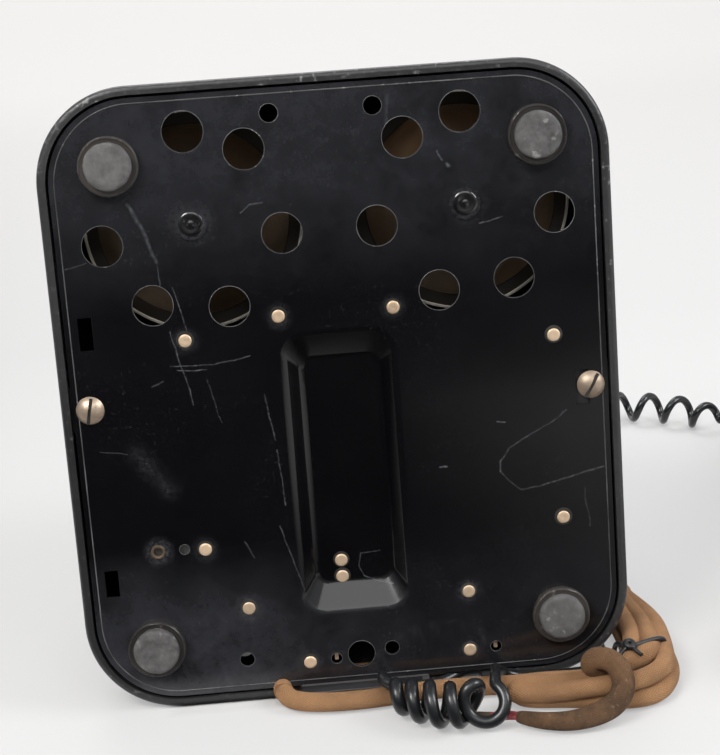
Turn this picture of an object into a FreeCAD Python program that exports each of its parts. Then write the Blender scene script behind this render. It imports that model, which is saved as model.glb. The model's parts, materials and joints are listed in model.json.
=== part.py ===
import FreeCAD, Part

import math
import os

from FreeCAD import Vector

# Desk telephone of pressed sheet metal. It lies on its sloping rear wall, off the hook.
#
# The telephone is drawn upright: x to the right, y to the rear, z up, with z = 0 at the
# lower edge of the casing's rim and x = y = 0 in the middle of the base. lay_down() then
# turns it onto its rear wall, which is ground flat by REST_GRIND and rests on the floor
# z = 0. The origin is the point of that wall REST_HEIGHT above the rim. The cords and the
# handset are drawn on the same floor with y counted from the rim's rear edge, and are set
# back by REST_REACH when they are saved.

# ---------------------------------------------------------------- casing
CASING_WIDTH = 173.0
CASING_LENGTH = 195.5
CASING_CORNER = 29.0
DECK_CORNER = 23.0
DECK_HEIGHT = 96.0
SIDE_DRAFT = 7.0
FRONT_DRAFT = 6.0
REAR_DRAFT = 8.0
SLOPE_ANGLE = 45.0
SLOPE_FOOT = 26.0
TOP_EDGE_RADIUS = 9.0
RIM_EDGE_RADIUS = 1.6
CASING_SHEET = 1.5
RIM_WIDTH = 3.0
RIM_HEIGHT = 3.0
NOTCH_LEFT = -29.0
NOTCH_RIGHT = 38.0
NOTCH_HEIGHT = 9.0
REST_HEIGHT = 48.0
REST_GRIND = 0.05

# ---------------------------------------------------------------- base plate
PLATE_GAP = 0.8
PLATE_SHEET = 1.2
PLATE_RECESS = 0.8
TROUGH_Y = 25.5
TROUGH_MOUTH_LENGTH = 90.0
TROUGH_MOUTH_WIDTH = 33.8
TROUGH_FLOOR_LENGTH = 73.0
TROUGH_FLOOR_WIDTH = 24.2
TROUGH_DEPTH = 5.0
TROUGH_MOUTH_CORNER = 7.0
TROUGH_FLOOR_CORNER = 4.0
TROUGH_MOUTH_ROUND = 3.0
TROUGH_FLOOR_ROUND = 2.5
FOOT_X = CASING_WIDTH / 2 - 22.3
FOOT_FRONT_Y = 23.35 - CASING_LENGTH / 2
FOOT_REAR_Y = CASING_LENGTH / 2 - 20.85
SMALL_HOLE_X = 15.5
SMALL_HOLE_Y = 11.25 - CASING_LENGTH / 2
SMALL_HOLE_RADIUS = 2.8
CABLE_HOLE_RADIUS = 4.3
CABLE_HOLE_Y = CASING_LENGTH / 2 - 12.75
TAG_HOLE_RADIUS = 1.75
TAG_HOLES = ((-8.0, CASING_LENGTH / 2 - 11.85), (43.1, CASING_LENGTH / 2 - 11.35))
SPARE_HOLES = ((-36.3, CASING_LENGTH / 2 - 14.05, 2.3), (9.9, CASING_LENGTH / 2 - 13.85, 2.3),
               (-52.8, 45.8, 1.6))
SLOT_WIDTH = 4.2
SLOT_INSET = 10.15
PLATE_SLOTS = ((SLOT_INSET - CASING_WIDTH / 2, -24.4, 10.0), (SLOT_INSET - CASING_WIDTH / 2, 55.1, 8.6),
               (CASING_WIDTH / 2 - SLOT_INSET - 1.65, 4.2, 11.0))
RIVET_RADIUS = 1.75
RIVET_PROUD = 0.45
RIVET_HEAD_RADIUS = 2.9
RIVET_HEAD_HEIGHT = 0.9
RIVETS = ((-46.5, -20.1), (-17.6, -25.4), (17.6, -25.4), (66.5, -12.9), (-46.3, 46.3),
          (-34.4, CASING_LENGTH / 2 - 31.05), (-16.5, CASING_LENGTH / 2 - 11.35),
          (35.4, CASING_LENGTH / 2 - 30.45), (66.8, 45.5), (34.7, CASING_LENGTH / 2 - 10.95))
TROUGH_RIVETS = ((-4.1, 55.0), (-4.1, 60.4))
EYELET_PLACE = (-61.1, 45.9)
EYELET_RADIUS = 2.3
EYELET_BORE = 1.3
LOOSE_FIT = 0.05
CUT_REACH = 1.0

# ---------------------------------------------------------------- feet
CUP_RADIUS = 8.5
CUP_HEIGHT = 3.2
CUP_SHEET = 0.7
RUBBER_RADIUS = 7.1
RUBBER_HEIGHT = 5.2
RUBBER_CHAMFER = 0.7

# ---------------------------------------------------------------- screws of the casing
SCREW_INSET = 9.1
CASING_SCREWS = ((SCREW_INSET - CASING_WIDTH / 2, -0.8), (CASING_WIDTH / 2 - SCREW_INSET, 3.6))
SCREW_HEAD_RADIUS = 4.35
SCREW_HEAD_HEIGHT = 2.4
SCREW_SLOT_WIDTH = 1.0
SCREW_SLOT_DEPTH = 1.1
SCREW_SHANK_RADIUS = 1.9
SCREW_SLOT_TURNS = (12.0, -30.0)
LUG_SHEET = 2.4
LUG_LENGTH = 14.0
LUG_HEIGHT = 12.0
LUG_REACH = 5.0
SCREW_TIP = 2.0

# ---------------------------------------------------------------- bells
GONG_X = 41.5
GONG_Y = -55.4
GONG_RADIUS = 31.5
GONG_RIM_HEIGHT = 14.0
GONG_DEPTH = 16.0
GONG_SHEET = 1.6
GONG_CROWN_RADIUS = 12.0
SOUND_HOLE_RADIUS = 6.2
SOUND_HOLE_CIRCLE = 27.5
SOUND_HOLE_ANGLES = (-90.0, -50.0, 10.0, 70.0, 120.0, 170.0)
POST_RADIUS = 3.2
POST_SEAT_RADIUS = 4.8
POST_SEAT_BORE = 3.3
POST_SEAT_PROUD = 0.7
GONG_SCREW_RADIUS = 1.9
GONG_SCREW_HEAD = 4.0
GONG_SCREW_HEAD_HEIGHT = 2.2

# ---------------------------------------------------------------- ringer
RINGER_FOOT_WIDTH = 46.0
RINGER_FOOT_LENGTH = 9.0
RINGER_SHEET = 2.0
RINGER_HEIGHT = 36.0
RINGER_ARM_HALF = 3.0
COIL_X = 11.0
COIL_Z = 21.0
COIL_RADIUS = 8.0
COIL_LENGTH = 24.0
CORE_RADIUS = 3.2
CORE_PROUD = 3.0
ARMATURE_PIVOT_Y = -33.5
ARMATURE_HALF = 13.0
ARMATURE_THICKNESS = 1.6
ARMATURE_HEIGHT = 7.0
PIVOT_PIN_RADIUS = 1.2
PIVOT_CLEARANCE = 0.06
CLAPPER_BALL_RADIUS = 3.4
CLAPPER_ROD_RADIUS = 0.9
CLAPPER_Y = -56.0

# ---------------------------------------------------------------- inner parts on the plate
CONDENSER_SIZE = (30.0, 44.0, 24.0)
CONDENSER_PLACE = (-49.0, 40.0)
CONDENSER_CORNER = 3.0
STRAP_WIDTH = 8.0
STRAP_SHEET = 1.0
CORE_BLOCK = (16.0, 46.0, 16.0)
CORE_PLACE = (50.0, 43.0)
CORE_CHEEK = 3.0
CORE_LEG = (10.0, 10.0)
WINDING_RADIUS = 13.0
WINDING_LENGTH = 28.0
TERMINAL_BLOCK = (104.0, 8.0, 9.0)
TERMINAL_PLACE = (2.0, CASING_LENGTH / 2 - 17.75)
TERMINAL_LIFT = 9.0
TERMINAL_COUNT = 8
TERMINAL_SCREW_RADIUS = 2.3
TERMINAL_SCREW_HEIGHT = 1.8
TERMINAL_SLOT = (0.6, 0.7)
TAG_WIDTH = 1.2
TAG_LENGTH = 2.0
TAG_SHEET = 1.0
TAG_LIFT = 0.4
STAND_OFF_RADIUS = 3.0

# ---------------------------------------------------------------- cord bay
BAR_LEFT = -20.0
BAR_RIGHT = 21.0
BAR_SHEET = 1.8
BAR_HEIGHT = 17.0

# ---------------------------------------------------------------- dial
DIAL_HOLE_RADIUS = 29.0
DIAL_RING_RADIUS = 41.0
DIAL_RING_BORE = 37.6
DIAL_RING_HEIGHT = 8.5
DIAL_RING_ROUND = 2.0
NUMBER_PLATE_RADIUS = 37.2
NUMBER_PLATE_SHEET = 1.0
NUMBER_PLATE_PLAY = 1.0
NUMBER_PLATE_LIFT = 2.6
WHEEL_RADIUS = 36.6
WHEEL_SHEET = 1.6
WHEEL_LIFT = 6.4
FINGER_HOLE_RADIUS = 6.4
FINGER_CIRCLE = 27.2
FINGER_HOLES = 10
FINGER_STEP = 30.0
FINGER_FIRST = 60.0
STOP_ANGLE = -60.0
STOP_WIDTH = 4.0
STOP_LIFT = 0.8
STOP_FOOT_INSET = 1.0
STOP_SHEET = 1.6
CENTRE_CAP_RADIUS = 15.0
CENTRE_CAP_HEIGHT = 2.0
CENTRE_CAP_BEVEL = (1.0, 3.0, 1.4)
DIAL_CASE_RADIUS = 28.0
DIAL_CASE_DEPTH = 15.0
DIAL_CASE_SHEET = 1.2
DIAL_SHAFT_RADIUS = 3.0
DIAL_SHAFT_CLEARANCE = 0.05
DIAL_GEAR_RADIUS = 17.0
DIAL_GEAR_SHEET = 2.0

# ---------------------------------------------------------------- cradle and hook switch
CRADLE_Y = 30.0
CRADLE_BASE = (96.0, 48.0, 7.0)
CRADLE_BASE_CORNER = 12.0
CRADLE_SCREW_X = 12.0
CRADLE_SCREW_COVER = 1.0
CRADLE_SCREW_SHORT = 3.0
FORK_X = 34.0
FORK_WIDTH = 13.0
HORN_SPREAD = 27.0
HORN_THICKNESS = 6.5
HORN_HEIGHT = 32.0
HORN_FOOT_INSET = 3.0
HORN_TIP = 6.0
HORN_TIP_INSET = 1.5
HORN_SHOULDER = 7.0
HORN_SHOULDER_INSET = 1.0
SADDLE_HEIGHT = 11.0
PLUNGER_RADIUS = 4.0
PLUNGER_CLEARANCE = 0.3
PLUNGER_PROUD = 7.0
PLUNGER_ROUND = 2.4
PLUNGER_EDGE = 2.0
BRIDGE_DROP = 14.0
BRIDGE_WIDTH = 12.0
BRIDGE_SHEET = 3.0
LEVER_ARM = 34.0
LEVER_WIDTH = 10.0
LEVER_THICKNESS = 3.0
LEVER_NOSE_RADIUS = 3.0
LEVER_PIN_RADIUS = 1.5
LEVER_EYE_WALL = 2.0
LEVER_TAIL = 6.0
BRACKET_SHEET = 2.0
BRACKET_HALF = 5.0
BRACKET_DROP = 4.0
MOVING_GAP = 0.3
SPRING_LEAF = (8.0, 32.0, 0.5)
SPRING_LEAVES = 5
SPRING_PITCH = 3.0
SPRING_DROP = 3.0
SPRING_OFFSET = 12.0
SPRING_BACK = 8.0
INSULATOR_LENGTH = 10.0

# ---------------------------------------------------------------- handset
HANDSET_MIC = (206.0, 150.0)
HANDSET_EAR = (161.0, -3.0)
MIC_CAP_RADIUS = 25.0
MIC_CAP_HEIGHT = 15.0
EAR_CAP_RADIUS = 28.5
EAR_CAP_HEIGHT = 14.0
CAP_DISH = 2.5
CAP_DISH_RIM = 4.0
CAP_DISH_WALL = 6.0
CAP_ROUND = 2.5
HOUSING_HEIGHT = 19.0
HOUSING_INSET = 1.5
HOUSING_ROUND = 9.5
HANDLE_WIDTH = 23.0
HANDLE_THICKNESS = 17.0
HANDLE_RISE = 19.0
HANDLE_ROUND = 7.14
HANDLE_SINK = 1.0
CAPSULE_INSET = 4.0
CAP_FACE = 2.6
CAP_WALL = 2.4
CAP_HOLE_RADIUS = 1.6
CAP_HOLE_CIRCLE = 9.0
CAP_HOLES = 6
GLAND_TURN = 46.0
GLAND_LENGTH = 18.0
GLAND_RADIUS = 5.0
GLAND_TIP_RADIUS = 3.0
GLAND_HEIGHT = 22.0
GLAND_BOSS = 2.0
GLAND_BOSS_WALL = 1.0

# ---------------------------------------------------------------- cord sizes
ARC_SHARE = 0.45
LINE_CORD_RADIUS = 3.0
LINE_END_RADIUS = 4.1
CONDUCTOR_RADIUS = 0.75
SPADE_SIZE = (4.0, 6.0, 0.7)
SPADE_SLOT = 1.6
CURLY_WIRE_RADIUS = 1.65
COIL_OUTER_RADIUS = 7.0
GROMMET_RADIUS = 2.7
GROMMET_LENGTH = 6.5

# ---------------------------------------------------------------- cord routes on the floor
# Brown line cord inside the notch: round, then squeezed flat over the bar and out under the plate.
LINE_INNER = ((40.0, 13.0, 8.3), (34.0, 10.2, 6.4), (29.0, 7.2, 4.4), (24.6, 6.2, 3.3))
FLAT_LEFT = -28.6
FLAT_RIGHT = 25.2
FLAT_DROP_RIGHT = -20.6
FLAT_FRONT = -0.8
FLAT_MIDDLE = 3.6
FLAT_BACK = 8.8
FLAT_FLOOR = 0.1
FLAT_MOUTH_TOP = 3.35
FLAT_BAR_TOP = 3.75
FLAT_TOP = 6.4
# From the left end of the notch round a tight turn and along the rim to the hank.
LINE_LEAD = ((-25.5, -0.9, 3.2), (-23.9, -4.7, 3.2), (-20.2, -7.3, 3.2), (-14.6, -8.0, 3.2),
             (-5.0, -7.4, 3.2), (7.0, -7.9, 3.2), (19.5, -7.3, 3.2), (31.0, -8.2, 3.2),
             (40.0, -8.6, 3.2), (47.5, -9.2, 3.2))
# Outline of the tied hank, which bends round the right corner of the casing.
HANK_OUTLINE = ((44.6, -15.0), (46.6, -21.8), (54.0, -24.6), (66.0, -26.4), (78.0, -29.6),
                (88.0, -30.2), (96.0, -24.8), (100.8, -14.0), (102.6, 0.0), (101.8, 14.0),
                (98.8, 28.0), (94.6, 40.0), (89.6, 46.0), (84.6, 44.6), (83.0, 36.0),
                (83.2, 22.0), (83.6, 8.0), (82.4, 0.0), (79.0, -4.4), (70.0, -5.6),
                (58.0, -5.8), (48.0, -6.6), (45.2, -10.0))
HANK_FLOOR = 0.1
HANK_TOP = 12.7
TIE_PLACE = -2.5
TIE_WIDTH = 3.0
TIE_SHEET = 1.2
# Thick end of the line cord: out of the hank, over it, and in a loop in front of it.
LINE_END = ((73.0, -12.0, 12.5), (73.6, -15.6, 16.6), (76.4, -20.2, 18.0), (79.2, -24.8, 15.8),
            (79.4, -28.8, 11.2), (76.2, -32.0, 7.2), (69.5, -34.4, 4.8), (61.0, -35.0, 4.3),
            (53.0, -32.4, 4.3), (48.0, -29.6, 4.3))
CONDUCTORS = (((47.8, -30.2, 3.2), (45.6, -28.6, 1.5), (43.2, -25.8, 0.95), (40.6, -23.6, 0.95)),
              ((47.8, -29.2, 5.0), (46.0, -26.4, 3.0), (44.2, -22.8, 1.2), (41.6, -19.6, 0.95)))
# Black curly cord: from its grommet under the plate's edge, along the rim and over the line cord,
# through the tight turns and the open turn, along the rim again and away behind the telephone.
CURLY_LEAD = ((37.5, 6.6, 4.6), (34.6, 6.3, 3.2), (31.0, 4.2, 1.72), (25.4, -0.5, 1.7),
              (19.5, -1.95, 1.72), (13.5, -1.85, 1.75), (9.2, -2.0, 2.6), (6.7, -2.9, 5.7),
              (5.7, -5.6, 9.0), (5.5, -9.8, 9.1), (6.2, -13.2, 8.8), (8.6, -15.8, 8.8))
COIL_START = (7.0, -19.5, 7.1)
COIL_END = (29.0, -28.6, 7.1)
TURN_CENTRE = (35.6, -26.3, 8.3)
TURN_AXIS = (-0.1, -0.85, 0.51)
TURN_RADIUS = 8.0
TURN_THICKNESS = 4.6
CURLY_RUN = ((39.2, -23.4, 12.6), (39.9, -18.0, 12.3), (40.6, -12.4, 10.6), (41.2, -7.6, 9.1),
             (42.9, -3.9, 6.2), (46.6, -2.45, 2.8), (53.0, -2.3, 1.75), (62.0, -2.5, 1.75),
             (70.5, -2.2, 1.75), (76.2, 0.9, 1.75), (78.6, 8.0, 1.75), (78.9, 19.0, 1.75),
             (77.9, 32.0, 1.75), (78.6, 45.0, 1.75), (81.5, 56.0, 2.4), (84.0, 64.0, 5.0),
             (84.9, 72.5, 7.0))
CURLY_STRETCH = ((84.8, 71.0, 7.1), (83.6, 93.0, 7.1), (80.6, 116.0, 7.1), (77.4, 139.0, 7.1),
                 (75.4, 161.0, 7.1), (76.0, 181.5, 7.1), (81.5, 200.5, 7.1), (94.0, 214.8, 7.1),
                 (111.0, 221.9, 7.1), (129.0, 221.0, 7.1), (146.5, 214.2, 7.1),
                 (159.8, 205.4, 7.1), (170.8, 196.4, 7.1))
CURLY_TAIL = ((171.0, 196.2, 7.1), (176.0, 195.6, 9.6), (179.6, 194.6, 14.6), (181.4, 193.3, 19.6),
              (182.46, 191.48, 22.0))
TAIL_GAP = 0.2


# ---------------------------------------------------------------- shapes
def rounded_rect(width, length, radius, z, x0=0.0, y0=0.0):
    """Closed wire of a rectangle with round corners, at height z about (x0, y0)."""
    half_x = width / 2
    half_y = length / 2
    corners = ((half_x, -half_y), (half_x, half_y), (-half_x, half_y), (-half_x, -half_y))
    edges = []
    last = Vector(x0 - half_x + radius, y0 - half_y, z)
    for x, y in corners:
        sx = math.copysign(1.0, x)
        sy = math.copysign(1.0, y)
        along_y = Vector(x0 + x, y0 + y - sy * radius, z)
        along_x = Vector(x0 + x - sx * radius, y0 + y, z)
        start, end = (along_x, along_y) if sx * sy < 0 else (along_y, along_x)
        reach = radius * (1 - math.sqrt(0.5))
        middle = Vector(x0 + x - sx * reach, y0 + y - sy * reach, z)
        edges.append(Part.makeLine(last, start))
        edges.append(Part.Arc(start, middle, end).toShape())
        last = end
    return Part.Wire(edges)


def slab(wire, height):
    """The flat outline of a wire, raised by height."""
    return Part.Face(wire).extrude(Vector(0, 0, height))


def block(x0, x1, y0, y1, z0, z1):
    return Part.makeBox(x1 - x0, y1 - y0, z1 - z0, Vector(x0, y0, z0))


def rod(radius, height, x=0.0, y=0.0, z=0.0, direction=Vector(0, 0, 1)):
    return Part.makeCylinder(radius, height, Vector(x, y, z), direction)


def turned(points):
    """Solid of revolution about z from a closed outline of (radius, height) points."""
    outline = [Vector(r, 0, z) for r, z in points]
    outline.append(outline[0])
    face = Part.Face(Part.makePolygon(outline))
    return face.revolve(Vector(0, 0, 0), Vector(0, 0, 1), 360)


def moved(shape, x=0.0, y=0.0, z=0.0):
    copy = shape.copy()
    copy.translate(Vector(x, y, z))
    return copy


def spun(shape, degrees, centre=Vector(0, 0, 0), axis=Vector(0, 0, 1)):
    copy = shape.copy()
    copy.rotate(centre, axis, degrees)
    return copy


def group(shapes):
    """Separate solids kept in one node."""
    return Part.makeCompound(shapes)


def rise(degrees):
    return math.tan(math.radians(degrees))


# ---------------------------------------------------------------- poses of the two frames
LAID_ANGLE = -(90.0 + REAR_DRAFT)
REST_REACH = REST_HEIGHT / math.cos(math.radians(REAR_DRAFT))


def lay_down(shape):
    """Turn an upright piece onto the rear wall, and set that wall on the floor."""
    edge = Vector(0, CASING_LENGTH / 2, 0)
    laid = FreeCAD.Rotation(Vector(1, 0, 0), LAID_ANGLE)
    copy = shape.copy()
    copy.rotate(Vector(0, 0, 0), Vector(1, 0, 0), LAID_ANGLE)
    copy.translate(-laid.multVec(edge) - Vector(0, REST_REACH, REST_GRIND))
    return copy


def save(shape, name):
    shape.exportStep("parts/" + name + ".step")


def save_laid(shape, name):
    save(lay_down(shape), name)


def save_on_floor(shape, name):
    """Save a piece that is drawn on the floor with y counted from the rim's rear edge."""
    save(moved(shape, y=-REST_REACH), name)


# ---------------------------------------------------------------- derived places
PLATE_BOTTOM = PLATE_RECESS
PLATE_TOP = PLATE_RECESS + PLATE_SHEET
PLATE_INSET = RIM_WIDTH + PLATE_GAP
REAR_EDGE = CASING_LENGTH / 2
FRONT_EDGE = -CASING_LENGTH / 2


def side_wall_x(z):
    """Outer face of the right side wall at height z."""
    return CASING_WIDTH / 2 - z * rise(SIDE_DRAFT)


def rear_wall_y(z):
    """Outer face of the rear wall at height z."""
    return REAR_EDGE - z * rise(REAR_DRAFT)


def front_wall_y(z):
    """Outer face of the front wall at height z."""
    return FRONT_EDGE + z * rise(FRONT_DRAFT)


# The dial slope starts on the front wall and reaches the deck. Its middle carries the dial.
SLOPE_FOOT_Y = front_wall_y(SLOPE_FOOT)
SLOPE_TOP_Y = SLOPE_FOOT_Y + (DECK_HEIGHT - SLOPE_FOOT) / rise(SLOPE_ANGLE)
DIAL_CENTRE = Vector(0, (SLOPE_FOOT_Y + SLOPE_TOP_Y) / 2, (SLOPE_FOOT + DECK_HEIGHT) / 2)


def on_slope(shape):
    """Set a piece drawn about z = 0 onto the middle of the dial slope."""
    return moved(spun(shape, SLOPE_ANGLE, axis=Vector(1, 0, 0)), *DIAL_CENTRE)


# ---------------------------------------------------------------- casing
def casing_section(z, inset):
    """Outline of the casing's walls at height z, taken in by inset."""
    front = front_wall_y(z) + inset
    rear = rear_wall_y(z) - inset
    corner = CASING_CORNER + (DECK_CORNER - CASING_CORNER) * z / DECK_HEIGHT - inset
    return rounded_rect(2 * (side_wall_x(z) - inset), rear - front, corner, z,
                        0.0, (front + rear) / 2)


def casing_form(inset, floor, edge_radius):
    """The casing's closed outer form from floor to deck, taken in by inset."""
    top = DECK_HEIGHT - inset
    form = Part.makeLoft([casing_section(floor, inset), casing_section(top, inset)], True, True)
    sunk = inset / math.cos(math.radians(SLOPE_ANGLE))
    reach = CASING_LENGTH
    foot = Vector(-reach, SLOPE_FOOT_Y - reach, SLOPE_FOOT - sunk - reach * rise(SLOPE_ANGLE))
    head = Vector(-reach, SLOPE_FOOT_Y + reach, SLOPE_FOOT - sunk + reach * rise(SLOPE_ANGLE))
    corner = Vector(-reach, foot.y, head.z)
    wedge = Part.Face(Part.makePolygon([foot, head, corner, foot])).extrude(Vector(2 * reach, 0, 0))
    form = form.cut(wedge)
    lowest = (SLOPE_FOOT - sunk) * 0.9
    top_edges = [edge for edge in form.Edges if edge.BoundBox.ZMin > lowest]
    return form.makeFillet(edge_radius, top_edges)


def make_casing():
    outer = casing_form(0.0, 0.0, TOP_EDGE_RADIUS)
    rim_edges = [edge for edge in outer.Edges if edge.BoundBox.ZMax < 0.001]
    outer = outer.makeFillet(RIM_EDGE_RADIUS, rim_edges)
    inner = casing_form(CASING_SHEET, RIM_HEIGHT, TOP_EDGE_RADIUS - CASING_SHEET)
    mouth = slab(rounded_rect(CASING_WIDTH - 2 * RIM_WIDTH, CASING_LENGTH - 2 * RIM_WIDTH,
                              CASING_CORNER - RIM_WIDTH, -CUT_REACH), RIM_HEIGHT + CUT_REACH)
    notch = block(NOTCH_LEFT, NOTCH_RIGHT, REAR_EDGE - 2 * RIM_WIDTH, REAR_EDGE + CUT_REACH,
                  -CUT_REACH, NOTCH_HEIGHT)
    dial_hole = on_slope(rod(DIAL_HOLE_RADIUS, 4 * CASING_SHEET, z=-2 * CASING_SHEET))
    low = -RIM_HEIGHT
    high = DECK_HEIGHT + RIM_HEIGHT
    sunk = REST_GRIND / math.cos(math.radians(REAR_DRAFT))
    beyond = CASING_LENGTH
    ground = Part.makePolygon([Vector(-beyond, rear_wall_y(low) - sunk, low),
                               Vector(-beyond, rear_wall_y(high) - sunk, high),
                               Vector(-beyond, beyond, high), Vector(-beyond, beyond, low),
                               Vector(-beyond, rear_wall_y(low) - sunk, low)])
    outer = outer.cut(Part.Face(ground).extrude(Vector(2 * beyond, 0, 0)))
    casing = outer.cut(inner).cut(mouth).cut(notch).cut(dial_hole)
    for side in (-1, 1):
        casing = casing.cut(rod(PLUNGER_RADIUS + PLUNGER_CLEARANCE, 4 * CASING_SHEET,
                                side * FORK_X, CRADLE_Y, DECK_HEIGHT - 3 * CASING_SHEET))
        casing = casing.cut(rod(SCREW_SHANK_RADIUS + LOOSE_FIT, 4 * CASING_SHEET,
                                side * CRADLE_SCREW_X, CRADLE_Y, DECK_HEIGHT - 3 * CASING_SHEET))
    save_laid(casing, "casing")


def make_lugs():
    """Angle lugs inside the side walls, which take the two casing screws."""
    lugs = []
    for x, y in CASING_SCREWS:
        side = math.copysign(1.0, x)
        low = PLATE_TOP
        high = PLATE_TOP + LUG_HEIGHT
        outer_low = side_wall_x(RIM_HEIGHT) - RIM_WIDTH - MOVING_GAP
        wall = CASING_SHEET + 2 * LOOSE_FIT
        face = [Vector(side * (abs(x) - LUG_REACH), 0, low),
                Vector(side * outer_low, 0, low),
                Vector(side * outer_low, 0, RIM_HEIGHT + LOOSE_FIT),
                Vector(side * (side_wall_x(RIM_HEIGHT + LOOSE_FIT) - wall), 0, RIM_HEIGHT + LOOSE_FIT),
                Vector(side * (side_wall_x(high) - wall), 0, high),
                Vector(side * (side_wall_x(high) - wall - LUG_SHEET), 0, high),
                Vector(side * (side_wall_x(low + LUG_SHEET) - wall - LUG_SHEET), 0, low + LUG_SHEET),
                Vector(side * (abs(x) - LUG_REACH), 0, low + LUG_SHEET)]
        face.append(face[0])
        lug = Part.Face(Part.makePolygon(face)).extrude(Vector(0, LUG_LENGTH, 0))
        lug.translate(Vector(0, y - LUG_LENGTH / 2, 0))
        lugs.append(lug.cut(rod(SCREW_SHANK_RADIUS + LOOSE_FIT, 3 * LUG_SHEET, x, y, low - LUG_SHEET)))
    save_laid(group(lugs), "side_lugs")


# ---------------------------------------------------------------- base plate
def make_base_plate():
    width = CASING_WIDTH - 2 * PLATE_INSET
    length = CASING_LENGTH - 2 * PLATE_INSET
    plate = slab(rounded_rect(width, length, CASING_CORNER - PLATE_INSET, PLATE_BOTTOM), PLATE_SHEET)

    def trough(extra, bottom, top):
        mouth = rounded_rect(TROUGH_MOUTH_WIDTH + extra, TROUGH_MOUTH_LENGTH + extra,
                             TROUGH_MOUTH_CORNER + extra / 2, bottom, 0.0, TROUGH_Y)
        floor = rounded_rect(TROUGH_FLOOR_WIDTH + extra, TROUGH_FLOOR_LENGTH + extra,
                             TROUGH_FLOOR_CORNER + extra / 2, top, 0.0, TROUGH_Y)
        return Part.makeLoft([mouth, floor], True, True)

    floor_height = PLATE_BOTTOM + TROUGH_DEPTH
    plate = plate.fuse(trough(2 * PLATE_SHEET, PLATE_BOTTOM, floor_height + PLATE_SHEET))
    hollow = trough(0.0, PLATE_BOTTOM, floor_height)
    floor_edges = [edge for edge in hollow.Edges if edge.BoundBox.ZMin > floor_height - LOOSE_FIT]
    plate = plate.cut(hollow.makeFillet(TROUGH_FLOOR_ROUND, floor_edges))
    mouth_edges = []
    for edge in plate.Edges:
        box = edge.BoundBox
        if (box.ZMax < PLATE_BOTTOM + LOOSE_FIT and box.XMax < TROUGH_MOUTH_WIDTH
                and box.XMin > -TROUGH_MOUTH_WIDTH):
            if abs(box.Center.y - TROUGH_Y) < TROUGH_MOUTH_LENGTH / 2 + LOOSE_FIT:
                mouth_edges.append(edge)
    plate = plate.makeFillet(TROUGH_MOUTH_ROUND, mouth_edges)
    for side in (-1, 1):
        seat = rod(POST_SEAT_RADIUS, POST_SEAT_PROUD + PLATE_SHEET / 2, side * GONG_X, GONG_Y,
                   PLATE_BOTTOM - POST_SEAT_PROUD)
        plate = plate.fuse(seat)

    through = PLATE_SHEET + 2 * (POST_SEAT_PROUD + CUT_REACH)
    below = PLATE_BOTTOM - POST_SEAT_PROUD - CUT_REACH
    holes = []
    for side in (-1, 1):
        holes.append(rod(POST_SEAT_BORE, POST_SEAT_PROUD + CUT_REACH, side * GONG_X, GONG_Y, below))
        holes.append(rod(GONG_SCREW_RADIUS + LOOSE_FIT, through, side * GONG_X, GONG_Y, below))
        holes.append(rod(SMALL_HOLE_RADIUS, through, side * SMALL_HOLE_X, SMALL_HOLE_Y, below))
        for angle in SOUND_HOLE_ANGLES:
            x = GONG_X + SOUND_HOLE_CIRCLE * math.cos(math.radians(180.0 - angle))
            y = GONG_Y + SOUND_HOLE_CIRCLE * math.sin(math.radians(180.0 - angle))
            holes.append(rod(SOUND_HOLE_RADIUS, through, side * x, y, below))
    holes.append(rod(CABLE_HOLE_RADIUS, through, 0.0, CABLE_HOLE_Y, below))
    for x, y in TAG_HOLES:
        holes.append(rod(TAG_HOLE_RADIUS, through, x, y, below))
    for x, y, radius in SPARE_HOLES:
        holes.append(rod(radius, through, x, y, below))
    for x, y, slot_length in PLATE_SLOTS:
        holes.append(block(x - SLOT_WIDTH / 2, x + SLOT_WIDTH / 2, y - slot_length / 2,
                           y + slot_length / 2, below, below + through))
    for x, y in RIVETS:
        holes.append(rod(RIVET_RADIUS + LOOSE_FIT, through, x, y, below))
    for x, y in TROUGH_RIVETS:
        holes.append(rod(RIVET_RADIUS + LOOSE_FIT, through, x, y, floor_height - CUT_REACH))
    for x, y in CASING_SCREWS:
        holes.append(rod(SCREW_SHANK_RADIUS + LOOSE_FIT, through, x, y, below))
    holes.append(rod(EYELET_RADIUS + LOOSE_FIT, through, *EYELET_PLACE, below))
    save_laid(plate.cut(holes), "base_plate")


def rivet(x, y, underside, sheet):
    """Rivet whose plain end shows below a sheet and whose head lies on top of it."""
    shank = rod(RIVET_RADIUS, RIVET_PROUD + sheet, x, y, underside - RIVET_PROUD)
    head = rod(RIVET_HEAD_RADIUS, RIVET_HEAD_HEIGHT, x, y, underside + sheet)
    return shank.fuse(head)


def make_rivets():
    rivets = [rivet(x, y, PLATE_BOTTOM, PLATE_SHEET) for x, y in RIVETS]
    rivets += [rivet(x, y, PLATE_BOTTOM + TROUGH_DEPTH, PLATE_SHEET) for x, y in TROUGH_RIVETS]
    save_laid(group(rivets), "plate_rivets")
    tube = rod(EYELET_RADIUS, PLATE_SHEET + 2 * RIVET_PROUD, *EYELET_PLACE, PLATE_BOTTOM - RIVET_PROUD)
    bore = rod(EYELET_BORE, PLATE_SHEET + 4 * RIVET_PROUD, *EYELET_PLACE, PLATE_BOTTOM - 2 * RIVET_PROUD)
    save_laid(tube.cut(bore), "eyelet")


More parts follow.
